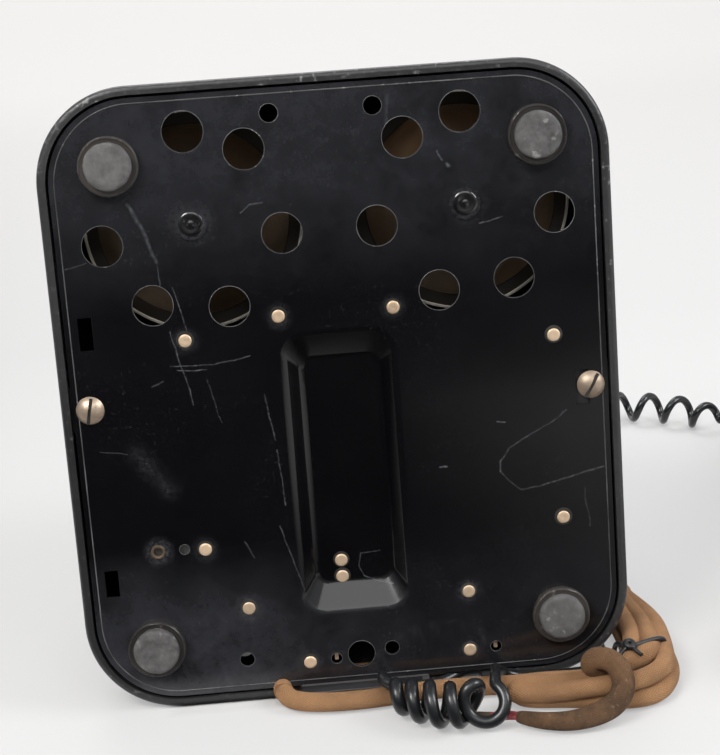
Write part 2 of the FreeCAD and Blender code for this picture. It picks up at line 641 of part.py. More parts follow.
def make_feet():
    cups = []
    feet = []
    for side in (-1, 1):
        for y in (FOOT_FRONT_Y, FOOT_REAR_Y):
            x = side * FOOT_X
            cup = rod(CUP_RADIUS, CUP_HEIGHT, x, y, PLATE_BOTTOM - CUP_HEIGHT)
            well = rod(RUBBER_RADIUS + LOOSE_FIT, CUP_HEIGHT, x, y, PLATE_BOTTOM - CUP_HEIGHT - CUP_SHEET)
            cups.append(cup.cut(well))
            top = PLATE_BOTTOM - CUP_SHEET
            foot = rod(RUBBER_RADIUS, RUBBER_HEIGHT, x, y, top - RUBBER_HEIGHT)
            lower = [edge for edge in foot.Edges if edge.BoundBox.ZMax < top - RUBBER_HEIGHT / 2]
            feet.append(foot.makeChamfer(RUBBER_CHAMFER, lower))
    save_laid(group(cups), "foot_cups")
    save_laid(group(feet), "rubber_feet")


def slotted_head(radius, height, slot_width, slot_depth):
    """Domed head with a slot along x. Its flat side is at z = 0 and its dome points down."""
    dome = (radius * radius + height * height) / (2 * height)
    ball = Part.makeSphere(dome, Vector(0, 0, dome - height))
    head = ball.common(rod(radius, height, z=-height))
    slot = block(-radius, radius, -slot_width / 2, slot_width / 2, -height, slot_depth - height)
    return head.cut(slot)


def make_casing_screws():
    screws = []
    for (x, y), turn in zip(CASING_SCREWS, SCREW_SLOT_TURNS):
        head = slotted_head(SCREW_HEAD_RADIUS, SCREW_HEAD_HEIGHT, SCREW_SLOT_WIDTH, SCREW_SLOT_DEPTH)
        shank = rod(SCREW_SHANK_RADIUS, PLATE_SHEET + LUG_SHEET + SCREW_TIP)
        screws.append(moved(spun(head.fuse(shank), 90.0 + turn), x, y, PLATE_BOTTOM))
    save_laid(group(screws), "casing_screws")


# ---------------------------------------------------------------- bells and ringer
GONG_TOP = GONG_RIM_HEIGHT + GONG_DEPTH


def gong_profile(radius, depth, crown):
    """Half outline of a bell gong: flat crown, round shoulder, nearly upright rim."""
    start = Vector(0, 0, GONG_RIM_HEIGHT + depth)
    flat = Vector(crown, 0, GONG_RIM_HEIGHT + depth)
    share = math.sqrt(0.5)
    middle = Vector(crown + (radius - crown) * share, 0, GONG_RIM_HEIGHT + depth * share)
    rim = Vector(radius, 0, GONG_RIM_HEIGHT)
    centre = Vector(0, 0, GONG_RIM_HEIGHT)
    edges = [Part.makeLine(start, flat), Part.Arc(flat, middle, rim).toShape(),
             Part.makeLine(rim, centre), Part.makeLine(centre, start)]
    return Part.Face(Part.Wire(edges)).revolve(Vector(0, 0, 0), Vector(0, 0, 1), 360)


def make_gongs():
    bell = gong_profile(GONG_RADIUS, GONG_DEPTH, GONG_CROWN_RADIUS)
    hollow = gong_profile(GONG_RADIUS - GONG_SHEET, GONG_DEPTH - GONG_SHEET,
                          GONG_CROWN_RADIUS - GONG_SHEET / 2)
    bell = bell.cut(hollow).cut(rod(GONG_SCREW_RADIUS + LOOSE_FIT, 2 * GONG_TOP))
    post_height = GONG_TOP - GONG_SHEET - PLATE_TOP
    post = rod(POST_RADIUS, post_height, z=PLATE_TOP)
    end_length = PLATE_SHEET + POST_SEAT_PROUD / 2
    end = rod(GONG_SCREW_RADIUS, end_length, z=PLATE_TOP - end_length)
    stud = rod(GONG_SCREW_RADIUS, GONG_SHEET + GONG_SCREW_HEAD_HEIGHT, z=GONG_TOP - GONG_SHEET)
    nut = rod(GONG_SCREW_HEAD, GONG_SCREW_HEAD_HEIGHT, z=GONG_TOP)
    nut = nut.cut(rod(GONG_SCREW_RADIUS + LOOSE_FIT, 2 * GONG_TOP))
    posts = []
    nuts = []
    for side, name in ((-1, "gong_left"), (1, "gong_right")):
        save_laid(moved(bell, side * GONG_X, GONG_Y), name)
        posts.append(moved(post.fuse(end).fuse(stud), side * GONG_X, GONG_Y))
        nuts.append(moved(nut, side * GONG_X, GONG_Y))
    save_laid(group(posts), "gong_posts")
    save_laid(group(nuts), "gong_nuts")


RINGER_BACK_Y = RIVETS[1][1] + RINGER_FOOT_LENGTH / 2
RINGER_FRONT_Y = RINGER_BACK_Y - RINGER_SHEET
RIVET_TOP = PLATE_TOP + RIVET_HEAD_HEIGHT


def make_ringer():
    half = RINGER_FOOT_WIDTH / 2
    foot = block(-half, half, RINGER_BACK_Y - RINGER_FOOT_LENGTH, RINGER_BACK_Y, PLATE_TOP,
                 PLATE_TOP + RINGER_SHEET)
    wall = block(-half, half, RINGER_FRONT_Y, RINGER_BACK_Y, PLATE_TOP, RINGER_HEIGHT)
    low_arm_z = COIL_Z - ARMATURE_HEIGHT / 2 - MOVING_GAP - RINGER_SHEET
    frame = foot.fuse(wall)
    for arm_z in (low_arm_z, COIL_Z + ARMATURE_HEIGHT / 2 + MOVING_GAP):
        frame = frame.fuse(block(-RINGER_ARM_HALF, RINGER_ARM_HALF, ARMATURE_PIVOT_Y - RINGER_ARM_HALF,
                                 RINGER_FRONT_Y, arm_z, arm_z + RINGER_SHEET))
    for side in (-1, 1):
        hole = rod(CORE_RADIUS + LOOSE_FIT, 6 * RINGER_SHEET, side * COIL_X, RINGER_FRONT_Y - RINGER_SHEET,
                   COIL_Z, Vector(0, 1, 0))
        frame = frame.cut(hole)
        place = RIVETS[1] if side < 0 else RIVETS[2]
        frame = frame.cut(rod(RIVET_HEAD_RADIUS + LOOSE_FIT, 3 * RINGER_SHEET, *place,
                              PLATE_TOP - CUT_REACH))
    pin_hole = rod(PIVOT_PIN_RADIUS + PIVOT_CLEARANCE, RINGER_HEIGHT, 0.0, ARMATURE_PIVOT_Y,
                   low_arm_z - CUT_REACH)
    save_laid(frame.cut(pin_hole), "ringer_frame")

    windings = []
    cores = []
    for side in (-1, 1):
        x = side * COIL_X
        winding = rod(COIL_RADIUS, COIL_LENGTH, x, RINGER_BACK_Y, COIL_Z, Vector(0, 1, 0))
        bore = rod(CORE_RADIUS + LOOSE_FIT, COIL_LENGTH + 2 * CUT_REACH, x, RINGER_BACK_Y - CUT_REACH,
                   COIL_Z, Vector(0, 1, 0))
        windings.append(winding.cut(bore))
        core_length = CORE_PROUD + RINGER_SHEET + COIL_LENGTH
        cores.append(rod(CORE_RADIUS, core_length, x, RINGER_FRONT_Y - CORE_PROUD, COIL_Z,
                         Vector(0, 1, 0)))
    heel_y = RINGER_BACK_Y + COIL_LENGTH
    heel = block(-COIL_X - COIL_RADIUS, COIL_X + COIL_RADIUS, heel_y, heel_y + RINGER_SHEET,
                 COIL_Z - CORE_RADIUS, COIL_Z + CORE_RADIUS)
    save_laid(group(windings), "ringer_coils")
    save_laid(cores[0].fuse(cores[1]).fuse(heel), "ringer_cores")

    bar_low = COIL_Z - ARMATURE_HEIGHT / 2
    bar = block(-ARMATURE_HALF, ARMATURE_HALF, ARMATURE_PIVOT_Y - ARMATURE_THICKNESS / 2,
                ARMATURE_PIVOT_Y + ARMATURE_THICKNESS / 2, bar_low, bar_low + ARMATURE_HEIGHT)
    hub_radius = PIVOT_PIN_RADIUS + ARMATURE_THICKNESS
    hub = rod(hub_radius, ARMATURE_HEIGHT, 0.0, ARMATURE_PIVOT_Y, bar_low)
    pin_length = ARMATURE_HEIGHT + 2 * (MOVING_GAP + RINGER_SHEET)
    pin = rod(PIVOT_PIN_RADIUS, pin_length, 0.0, ARMATURE_PIVOT_Y, COIL_Z - pin_length / 2)
    save_laid(bar.fuse(hub).fuse(pin), "armature")
    stem = rod(CLAPPER_ROD_RADIUS, ARMATURE_PIVOT_Y - CLAPPER_Y, 0.0, CLAPPER_Y, COIL_Z, Vector(0, 1, 0))
    ball = Part.makeSphere(CLAPPER_BALL_RADIUS, Vector(0.0, CLAPPER_Y, COIL_Z))
    hub_space = rod(hub_radius, RINGER_HEIGHT, 0.0, ARMATURE_PIVOT_Y)
    save_laid(stem.fuse(ball).cut(hub_space), "clapper")


# ---------------------------------------------------------------- parts on the plate
def make_condenser():
    width, length, height = CONDENSER_SIZE
    x, y = CONDENSER_PLACE
    can = slab(rounded_rect(width, length, CONDENSER_CORNER, RIVET_TOP, x, y), height)
    save_laid(can, "condenser")
    top = RIVET_TOP + height
    outer = block(x - width / 2 - STRAP_SHEET, x + width / 2 + STRAP_SHEET, y - STRAP_WIDTH / 2,
                  y + STRAP_WIDTH / 2, PLATE_TOP, top + STRAP_SHEET)
    inner = block(x - width / 2, x + width / 2, y - STRAP_WIDTH, y + STRAP_WIDTH,
                  PLATE_TOP - CUT_REACH, top)
    strap = outer.cut(inner)
    for side in (-1, 1):
        edge = x + side * (width / 2 + STRAP_SHEET)
        tab = block(min(edge, edge + side * STRAP_WIDTH), max(edge, edge + side * STRAP_WIDTH),
                    y - STRAP_WIDTH / 2, y + STRAP_WIDTH / 2, PLATE_TOP, PLATE_TOP + STRAP_SHEET)
        strap = strap.fuse(tab)
    save_laid(strap.removeSplitter(), "condenser_strap")


def make_induction_coil():
    width, length, height = CORE_BLOCK
    x, y = CORE_PLACE
    middle = RIVET_TOP + WINDING_RADIUS
    leg_half = CORE_LEG[0] / 2
    leg_rise = CORE_LEG[1] / 2
    core = block(x - leg_half, x + leg_half, y - length / 2, y + length / 2,
                 middle - leg_rise, middle + leg_rise)
    for side in (-1, 1):
        end = y + side * length / 2
        inward = end - side * CORE_CHEEK
        core = core.fuse(block(x - width / 2, x + width / 2, min(end, inward), max(end, inward),
                               PLATE_TOP, middle + height / 2))
    save_laid(core.removeSplitter(), "induction_core")
    start = y - WINDING_LENGTH / 2
    winding = rod(WINDING_RADIUS, WINDING_LENGTH, x, start, middle, Vector(0, 1, 0))
    leg_half += LOOSE_FIT
    leg_rise += LOOSE_FIT
    core_space = block(x - leg_half, x + leg_half, start - CUT_REACH, start + WINDING_LENGTH + CUT_REACH,
                       middle - leg_rise, middle + leg_rise)
    save_laid(winding.cut(core_space), "induction_winding")


def make_terminals():
    width, depth, height = TERMINAL_BLOCK
    x, y = TERMINAL_PLACE
    top = TERMINAL_LIFT + height
    body = block(x - width / 2, x + width / 2, y - depth / 2, y + depth / 2, TERMINAL_LIFT, top)
    screws = []
    step = width / TERMINAL_COUNT
    for index in range(TERMINAL_COUNT):
        place = x - width / 2 + (index + 0.5) * step
        head = slotted_head(TERMINAL_SCREW_RADIUS, TERMINAL_SCREW_HEIGHT, *TERMINAL_SLOT)
        head = spun(head, 180.0, axis=Vector(1, 0, 0))
        screws.append(moved(head, place, y, top))
    stand_offs = []
    for side in (-1, 1):
        stand_offs.append(rod(STAND_OFF_RADIUS, TERMINAL_LIFT - PLATE_TOP, x + side * (width / 2 - step),
                              y, PLATE_TOP))
    tags = []
    for tag_x, tag_y in TAG_HOLES:
        leg = block(tag_x - TAG_WIDTH / 2, tag_x + TAG_WIDTH / 2, tag_y - TAG_LENGTH / 2,
                    tag_y + TAG_LENGTH / 2, PLATE_TOP + TAG_LIFT, TERMINAL_LIFT + TAG_SHEET)
        arm = block(tag_x - TAG_WIDTH / 2, tag_x + TAG_WIDTH / 2, y + depth / 2, tag_y, TERMINAL_LIFT,
                    TERMINAL_LIFT + TAG_SHEET)
        tags.append(leg.fuse(arm))
    save_laid(body, "terminal_block")
    save_laid(group(screws), "terminal_screws")
    save_laid(group(stand_offs), "terminal_posts")
    save_laid(group(tags), "terminal_tags")


# ---------------------------------------------------------------- cord bay
def make_cord_bay():
    """Bar riveted inside the rear wall, across the notch that lets the cords out."""
    low_y = rear_wall_y(0.0) - CASING_SHEET - LOOSE_FIT
    high_y = rear_wall_y(BAR_HEIGHT) - CASING_SHEET - LOOSE_FIT
    face = [Vector(BAR_LEFT, low_y, 0.0), Vector(BAR_LEFT, high_y, BAR_HEIGHT),
            Vector(BAR_LEFT, high_y - BAR_SHEET, BAR_HEIGHT), Vector(BAR_LEFT, low_y - BAR_SHEET, 0.0)]
    face.append(face[0])
    bar = Part.Face(Part.makePolygon(face)).extrude(Vector(BAR_RIGHT - BAR_LEFT, 0, 0))
    save_laid(bar, "cord_bar")


# ---------------------------------------------------------------- dial
def make_dial():
    ring = rod(DIAL_RING_RADIUS, DIAL_RING_HEIGHT)
    front_edges = [edge for edge in ring.Edges if edge.BoundBox.ZMin > DIAL_RING_HEIGHT / 2]
    ring = ring.makeFillet(DIAL_RING_ROUND, front_edges)
    ring = ring.cut(rod(DIAL_RING_BORE, DIAL_RING_HEIGHT, z=NUMBER_PLATE_LIFT))
    ring = ring.cut(rod(DIAL_CASE_RADIUS + LOOSE_FIT, DIAL_RING_HEIGHT, z=-CUT_REACH))
    save_laid(on_slope(ring), "dial_ring")

    plate = rod(NUMBER_PLATE_RADIUS, NUMBER_PLATE_SHEET, z=NUMBER_PLATE_LIFT)
    plate = plate.cut(rod(DIAL_SHAFT_RADIUS + NUMBER_PLATE_PLAY, DIAL_RING_HEIGHT))
    save_laid(on_slope(plate), "number_plate")

    case = rod(DIAL_CASE_RADIUS, DIAL_CASE_DEPTH + NUMBER_PLATE_LIFT, z=-DIAL_CASE_DEPTH)
    case = case.cut(rod(DIAL_CASE_RADIUS - DIAL_CASE_SHEET,
                        DIAL_CASE_DEPTH + NUMBER_PLATE_LIFT - 2 * DIAL_CASE_SHEET,
                        z=DIAL_CASE_SHEET - DIAL_CASE_DEPTH))
    case = case.cut(rod(DIAL_SHAFT_RADIUS + DIAL_SHAFT_CLEARANCE, 2 * DIAL_CASE_SHEET,
                        z=NUMBER_PLATE_LIFT - 1.5 * DIAL_CASE_SHEET))
    save_laid(on_slope(case), "dial_case")

    wheel = rod(WHEEL_RADIUS, WHEEL_SHEET, z=WHEEL_LIFT)
    holes = [rod(DIAL_SHAFT_RADIUS, WHEEL_SHEET * 3, z=WHEEL_LIFT - WHEEL_SHEET)]
    for index in range(FINGER_HOLES):
        angle = math.radians(STOP_ANGLE + FINGER_FIRST + FINGER_STEP * index)
        holes.append(rod(FINGER_HOLE_RADIUS, WHEEL_SHEET * 3, FINGER_CIRCLE * math.cos(angle),
                         FINGER_CIRCLE * math.sin(angle), WHEEL_LIFT - WHEEL_SHEET))
    save_laid(on_slope(wheel.cut(holes)), "finger_wheel")

    wheel_top = WHEEL_LIFT + WHEEL_SHEET
    side_in, face_in, side_height = CENTRE_CAP_BEVEL
    cap = turned([(0.0, wheel_top), (CENTRE_CAP_RADIUS, wheel_top),
                  (CENTRE_CAP_RADIUS - side_in, wheel_top + side_height),
                  (CENTRE_CAP_RADIUS - face_in, wheel_top + CENTRE_CAP_HEIGHT),
                  (0.0, wheel_top + CENTRE_CAP_HEIGHT)])
    save_laid(on_slope(cap), "dial_centre_cap")

    gear_z = -DIAL_CASE_DEPTH / 2
    shaft = rod(DIAL_SHAFT_RADIUS, wheel_top - gear_z, z=gear_z)
    gear = rod(DIAL_GEAR_RADIUS, DIAL_GEAR_SHEET, z=gear_z)
    save_laid(on_slope(shaft.fuse(gear)), "dial_shaft")

    low = wheel_top + STOP_LIFT
    finger = block(FINGER_CIRCLE - FINGER_HOLE_RADIUS, DIAL_RING_RADIUS, -STOP_WIDTH / 2, STOP_WIDTH / 2,
                   low, low + STOP_SHEET)
    foot = block(DIAL_RING_BORE + STOP_FOOT_INSET, DIAL_RING_RADIUS, -STOP_WIDTH / 2, STOP_WIDTH / 2,
                 DIAL_RING_HEIGHT, low + STOP_SHEET)
    save_laid(on_slope(spun(finger.fuse(foot).removeSplitter(), STOP_ANGLE)), "finger_stop")


# ---------------------------------------------------------------- cradle and hook switch
SADDLE_Z = DECK_HEIGHT + SADDLE_HEIGHT
BRIDGE_TOP = DECK_HEIGHT - BRIDGE_DROP
LEVER_Z = BRIDGE_TOP - BRIDGE_SHEET - MOVING_GAP - LEVER_NOSE_RADIUS


def fork_profile():
    """Outline of one fork: two horns with a round saddle between them."""
    inner = HORN_SPREAD - HORN_THICKNESS
    foot = DECK_HEIGHT + CRADLE_BASE[2] / 2
    tip = DECK_HEIGHT + HORN_HEIGHT
    points = [Vector(0, HORN_FOOT_INSET - HORN_SPREAD, foot), Vector(0, HORN_SPREAD - HORN_FOOT_INSET, foot),
              Vector(0, HORN_SPREAD, tip - HORN_TIP), Vector(0, HORN_SPREAD - HORN_TIP_INSET, tip),
              Vector(0, inner + HORN_TIP_INSET, tip),
              Vector(0, inner - HORN_SHOULDER_INSET, tip - HORN_SHOULDER)]
    saddle_low = Vector(0, 0, SADDLE_Z)
    edges = [Part.makeLine(a, b) for a, b in zip(points, points[1:])]
    left = [Vector(0, -p.y, p.z) for p in reversed(points[2:])]
    edges.append(Part.Arc(points[-1], saddle_low, left[0]).toShape())
    edges += [Part.makeLine(a, b) for a, b in zip(left, left[1:])]
    edges.append(Part.makeLine(left[-1], points[0]))
    return Part.Face(Part.Wire(edges))


def make_cradle():
    width, length, height = CRADLE_BASE
    cradle = slab(rounded_rect(width, length, CRADLE_BASE_CORNER, DECK_HEIGHT, 0.0, CRADLE_Y), height)
    for side in (-1, 1):
        fork = fork_profile().extrude(Vector(FORK_WIDTH, 0, 0))
        cradle = cradle.fuse(moved(fork, side * FORK_X - FORK_WIDTH / 2, CRADLE_Y))
    for side in (-1, 1):
        cradle = cradle.cut(rod(PLUNGER_RADIUS + PLUNGER_CLEARANCE, HORN_HEIGHT, side * FORK_X,
                                CRADLE_Y, DECK_HEIGHT - CUT_REACH))
        cradle = cradle.cut(rod(SCREW_SHANK_RADIUS + LOOSE_FIT, height - CRADLE_SCREW_COVER,
                                side * CRADLE_SCREW_X, CRADLE_Y, DECK_HEIGHT - CUT_REACH))
    save_laid(cradle, "cradle")

    screws = []
    for side in (-1, 1):
        shank = rod(SCREW_SHANK_RADIUS, CASING_SHEET + height - CRADLE_SCREW_SHORT)
        head = slotted_head(SCREW_HEAD_RADIUS, SCREW_HEAD_HEIGHT, SCREW_SLOT_WIDTH, SCREW_SLOT_DEPTH)
        screws.append(moved(shank.fuse(head), side * CRADLE_SCREW_X, CRADLE_Y, DECK_HEIGHT - CASING_SHEET))
    save_laid(group(screws), "cradle_screws")


def make_hook_switch():
    plungers = []
    tip = SADDLE_Z + PLUNGER_PROUD
    for side in (-1, 1):
        stem = rod(PLUNGER_RADIUS, tip - BRIDGE_TOP, side * FORK_X, CRADLE_Y, BRIDGE_TOP)
        upper = [edge for edge in stem.Edges if edge.BoundBox.ZMin > tip - CUT_REACH]
        plungers.append(stem.makeFillet(PLUNGER_ROUND, upper))
    save_laid(group(plungers), "plungers")
    half = FORK_X + PLUNGER_RADIUS + PLUNGER_EDGE
    bridge = block(-half, half, CRADLE_Y - BRIDGE_WIDTH / 2, CRADLE_Y + BRIDGE_WIDTH / 2,
                   BRIDGE_TOP - BRIDGE_SHEET, BRIDGE_TOP)
    save_laid(bridge, "hook_bridge")

    pivot_y = CRADLE_Y + LEVER_ARM
    bar = block(-LEVER_WIDTH / 2, LEVER_WIDTH / 2, CRADLE_Y, pivot_y + LEVER_TAIL,
                LEVER_Z - LEVER_THICKNESS / 2, LEVER_Z + LEVER_THICKNESS / 2)
    nose = rod(LEVER_NOSE_RADIUS, LEVER_WIDTH, -LEVER_WIDTH / 2, CRADLE_Y, LEVER_Z, Vector(1, 0, 0))
    eye = rod(LEVER_PIN_RADIUS + LEVER_EYE_WALL, LEVER_WIDTH, -LEVER_WIDTH / 2, pivot_y, LEVER_Z,
              Vector(1, 0, 0))
    reach = LEVER_WIDTH + 2 * (MOVING_GAP + BRACKET_SHEET)
    pin = rod(LEVER_PIN_RADIUS, reach, -reach / 2, pivot_y, LEVER_Z, Vector(1, 0, 0))
    save_laid(bar.fuse(nose).fuse(eye).fuse(pin), "hook_lever")

    ceiling = DECK_HEIGHT - CASING_SHEET
    low = LEVER_Z - BRACKET_DROP
    bracket = block(-reach / 2, reach / 2, pivot_y - BRACKET_HALF, pivot_y + BRACKET_HALF, low, ceiling)
    slot_half = reach / 2 - BRACKET_SHEET
    slot_reach = BRACKET_HALF + CUT_REACH
    bracket = bracket.cut(block(-slot_half, slot_half, pivot_y - slot_reach, pivot_y + slot_reach,
                                low - CUT_REACH, ceiling - BRACKET_SHEET))
    pin_space = rod(LEVER_PIN_RADIUS + PIVOT_CLEARANCE, reach + 2 * CUT_REACH, -reach / 2 - CUT_REACH,
                    pivot_y, LEVER_Z, Vector(1, 0, 0))
    save_laid(bracket.cut(pin_space), "hook_bracket")

    width, length, sheet = SPRING_LEAF
    pile_x = FORK_X / 2 + SPRING_OFFSET
    back_y = pivot_y + SPRING_BACK
    leaf_low = ceiling - width - SPRING_DROP
    leaves = []
    spacers = []
    for index in range(SPRING_LEAVES):
        x = pile_x + index * SPRING_PITCH
        leaves.append(block(x, x + sheet, back_y - length, back_y, leaf_low, leaf_low + width))
        if index:
            spacers.append(block(x - SPRING_PITCH + sheet, x, back_y - INSULATOR_LENGTH, back_y, leaf_low,
                                 ceiling))
    save_laid(group(leaves), "switch_springs")
    save_laid(group(spacers), "switch_insulators")


# ---------------------------------------------------------------- handset on the floor
def handset_frame():
    mic = Vector(*HANDSET_MIC, 0.0)
    ear = Vector(*HANDSET_EAR, 0.0)
    along = ear.sub(mic)
    return mic, along.Length, math.degrees(math.atan2(along.y, along.x))


def in_handset(shape):
    """Set a piece drawn with the mouthpiece at the origin and the handle along +x."""
    mic, _, turn = handset_frame()
    return moved(spun(shape, turn), mic.x, mic.y, 0.0)


def gland_direction():
    """Way the handset's cord gland points, in the frame of the floor."""
    _, _, turn = handset_frame()
    angle = math.radians(turn + 180.0 + GLAND_TURN)
    return Vector(math.cos(angle), math.sin(angle), 0.0)


def gland_seat():
    """Centre of the gland's wide end on the handset's boss."""
    mic, _, _ = handset_frame()
    reach = MIC_CAP_RADIUS - HOUSING_INSET + GLAND_BOSS
    return mic.add(gland_direction() * reach).add(Vector(0, 0, GLAND_HEIGHT))


def gland_tip():
    return gland_seat().add(gland_direction() * GLAND_LENGTH)


def make_cap(radius, height, hole_circle):
    """Screwed cap, face down on the floor, dished and with a ring of holes."""
    cap = rod(radius, height)
    cap = cap.makeFillet(CAP_ROUND, [edge for edge in cap.Edges if edge.BoundBox.ZMax < height / 2])
    dish_radius = radius - CAP_DISH_RIM
    dish = Part.makeCone(dish_radius, dish_radius - CAP_DISH_WALL, CAP_DISH)
    cap = cap.cut(dish)
    cap = cap.cut(rod(radius - CAP_WALL, height, z=CAP_DISH + CAP_FACE))
    cap = cap.cut(rod(CAP_HOLE_RADIUS, height, z=-CUT_REACH))
    for index in range(CAP_HOLES):
        angle = 2 * math.pi * index / CAP_HOLES
        cap = cap.cut(rod(CAP_HOLE_RADIUS, height, hole_circle * math.cos(angle),
                          hole_circle * math.sin(angle), -CUT_REACH))
    return cap


def make_handset():
    _, span, _ = handset_frame()
    mic_cap = make_cap(MIC_CAP_RADIUS, MIC_CAP_HEIGHT, CAP_HOLE_CIRCLE)
    ear_cap = moved(make_cap(EAR_CAP_RADIUS, EAR_CAP_HEIGHT, CAP_HOLE_CIRCLE), span)
    save_on_floor(in_handset(mic_cap), "mouthpiece_cap")
    save_on_floor(in_handset(ear_cap), "earpiece_cap")
    capsule_z = CAP_DISH + CAP_FACE
    mic_capsule = rod(MIC_CAP_RADIUS - CAPSULE_INSET, MIC_CAP_HEIGHT - capsule_z, z=capsule_z)
    ear_capsule = rod(EAR_CAP_RADIUS - CAPSULE_INSET, EAR_CAP_HEIGHT - capsule_z, span, 0.0, capsule_z)
    save_on_floor(in_handset(mic_capsule), "transmitter_capsule")
    save_on_floor(in_handset(ear_capsule), "receiver_capsule")

    def housing(x, radius, floor):
        cup = rod(radius - HOUSING_INSET, HOUSING_HEIGHT, x, 0.0, floor)
        top_edges = [edge for edge in cup.Edges if edge.BoundBox.ZMin > floor + HOUSING_HEIGHT / 2]
        return cup.makeFillet(HOUSING_ROUND, top_edges)

    low = MIC_CAP_HEIGHT + HOUSING_HEIGHT - HANDLE_THICKNESS / 2 - HANDLE_SINK
    start = Vector(0.0, 0.0, low)
    middle = Vector(span / 2, 0.0, low + HANDLE_RISE)
    end = Vector(span, 0.0, low)
    path = Part.Wire([Part.Arc(start, middle, end).toShape()])
    section = rounded_rect(HANDLE_THICKNESS, HANDLE_WIDTH, HANDLE_ROUND, 0.0)
    half_turn = 2 * math.degrees(math.atan2(HANDLE_RISE, span / 2))
    section.rotate(Vector(0, 0, 0), Vector(0, 1, 0), 90.0 - half_turn)
    section.translate(start)
    handle = path.makePipeShell([section], True, False)
    handle = handle.fuse(housing(0.0, MIC_CAP_RADIUS, MIC_CAP_HEIGHT))
    handle = handle.fuse(housing(span, EAR_CAP_RADIUS, EAR_CAP_HEIGHT))

    handle = in_handset(handle)
    away = gland_direction()
    sunk = GLAND_BOSS + GLAND_RADIUS
    boss = Part.makeCylinder(GLAND_RADIUS + GLAND_BOSS_WALL, sunk, gland_seat().sub(away * sunk), away)
    save_on_floor(handle.fuse(boss).removeSplitter(), "handset_handle")
    gland = Part.makeCone(GLAND_RADIUS, GLAND_TIP_RADIUS, GLAND_LENGTH, gland_seat(), away)
    save_on_floor(gland, "handset_gland")


# ---------------------------------------------------------------- cords
def cord_path(points):
    """Straight runs joined by tangent arcs, as large as the shorter run beside each allows."""
    places = [Vector(*point) for point in points]
    edges = []
    radii = []
    last = places[0]
    for before, corner, after in zip(places, places[1:], places[2:]):
        back = before - corner
        ahead = after - corner
        reach = ARC_SHARE * min(back.Length, ahead.Length)
        half_turn = (math.pi - back.getAngle(ahead)) / 2
        radius = reach / math.tan(half_turn)
        start = corner + back * (reach / back.Length)
        end = corner + ahead * (reach / ahead.Length)
        inward = (start + end) * 0.5 - corner
        middle = corner + inward * (radius * (1 / math.cos(half_turn) - 1) / inward.Length)
        edges.append(Part.LineSegment(last, start).toShape())
        edges.append(Part.Arc(start, middle, end).toShape())
        radii.append(radius)
        last = end
    edges.append(Part.LineSegment(last, places[-1]).toShape())
    return Part.Wire(edges), radii


def cord_tube(points, radius, name):
    """Round tube along a route. It prints the arc radii and the volume against the length."""
    path, radii = cord_path(points)
    heading = Vector(*points[1]) - Vector(*points[0])
    circle = Part.Wire([Part.makeCircle(radius, Vector(*points[0]), heading)])
    solid = path.makePipeShell([circle], True, False)
    share = solid.Volume / (math.pi * radius * radius * path.Length)
    listed = " ".join("%.1f" % value for value in radii)
    print("%s: length %.1f, volume share %.4f, arc radii %s" % (name, path.Length, share, listed))
    return solid


def make_line_cord():
    inner = cord_tube(LINE_INNER, LINE_CORD_RADIUS, "line_cord_inner")
    over_bar = block(FLAT_LEFT, FLAT_RIGHT, FLAT_MIDDLE, FLAT_BACK, FLAT_BAR_TOP, FLAT_TOP)
    drop = block(FLAT_LEFT, FLAT_DROP_RIGHT, FLAT_MIDDLE, FLAT_BACK, FLAT_FLOOR, FLAT_TOP)
    mouth = block(FLAT_LEFT, FLAT_DROP_RIGHT, FLAT_FRONT, FLAT_BACK, FLAT_FLOOR, FLAT_MOUTH_TOP)
    save_on_floor(inner.fuse([over_bar, drop, mouth]).removeSplitter(), "line_cord_inner")
    save_on_floor(cord_tube(LINE_LEAD, LINE_CORD_RADIUS, "line_cord_lead"), "line_cord_lead")
    save_on_floor(cord_tube(LINE_END, LINE_END_RADIUS, "line_cord_end"), "line_cord_end")

    outline = Part.BSplineCurve()
    outline.interpolate([Vector(x, y, HANK_FLOOR) for x, y in HANK_OUTLINE], True)
    hank = slab(Part.Wire([outline.toShape()]), HANK_TOP - HANK_FLOOR)
    save_on_floor(hank, "line_cord_hank")
    low = TIE_PLACE - TIE_WIDTH / 2
    high = TIE_PLACE + TIE_WIDTH / 2
    reach = hank.common(block(0.0, CASING_WIDTH, low, high, 0.0, HANK_TOP)).BoundBox
    tie = block(reach.XMin - TIE_SHEET, reach.XMax + TIE_SHEET, low, high, HANK_FLOOR,
                HANK_TOP + TIE_SHEET)
    save_on_floor(tie.cut(hank), "line_cord_tie")


def make_spade_tags():
    """Two bare conductors of the line cord's end, each with a slotted spade tag."""
    width, length, sheet = SPADE_SIZE
    tags = []
    for route in CONDUCTORS:
        end = Vector(*route[-1])
        heading = end - Vector(*route[-2])
        blade = block(-SPADE_SLOT, length, -width / 2, width / 2, -sheet / 2, sheet / 2)
        blade = blade.cut(block(length / 2, length, -SPADE_SLOT / 2, SPADE_SLOT / 2, -sheet, sheet))
        blade = moved(spun(blade, math.degrees(math.atan2(heading.y, heading.x))), *end)
        wire = cord_tube(route, CONDUCTOR_RADIUS, "conductor")
        tags.append(wire.fuse(blade))
    save_on_floor(group(tags), "line_cord_tags")


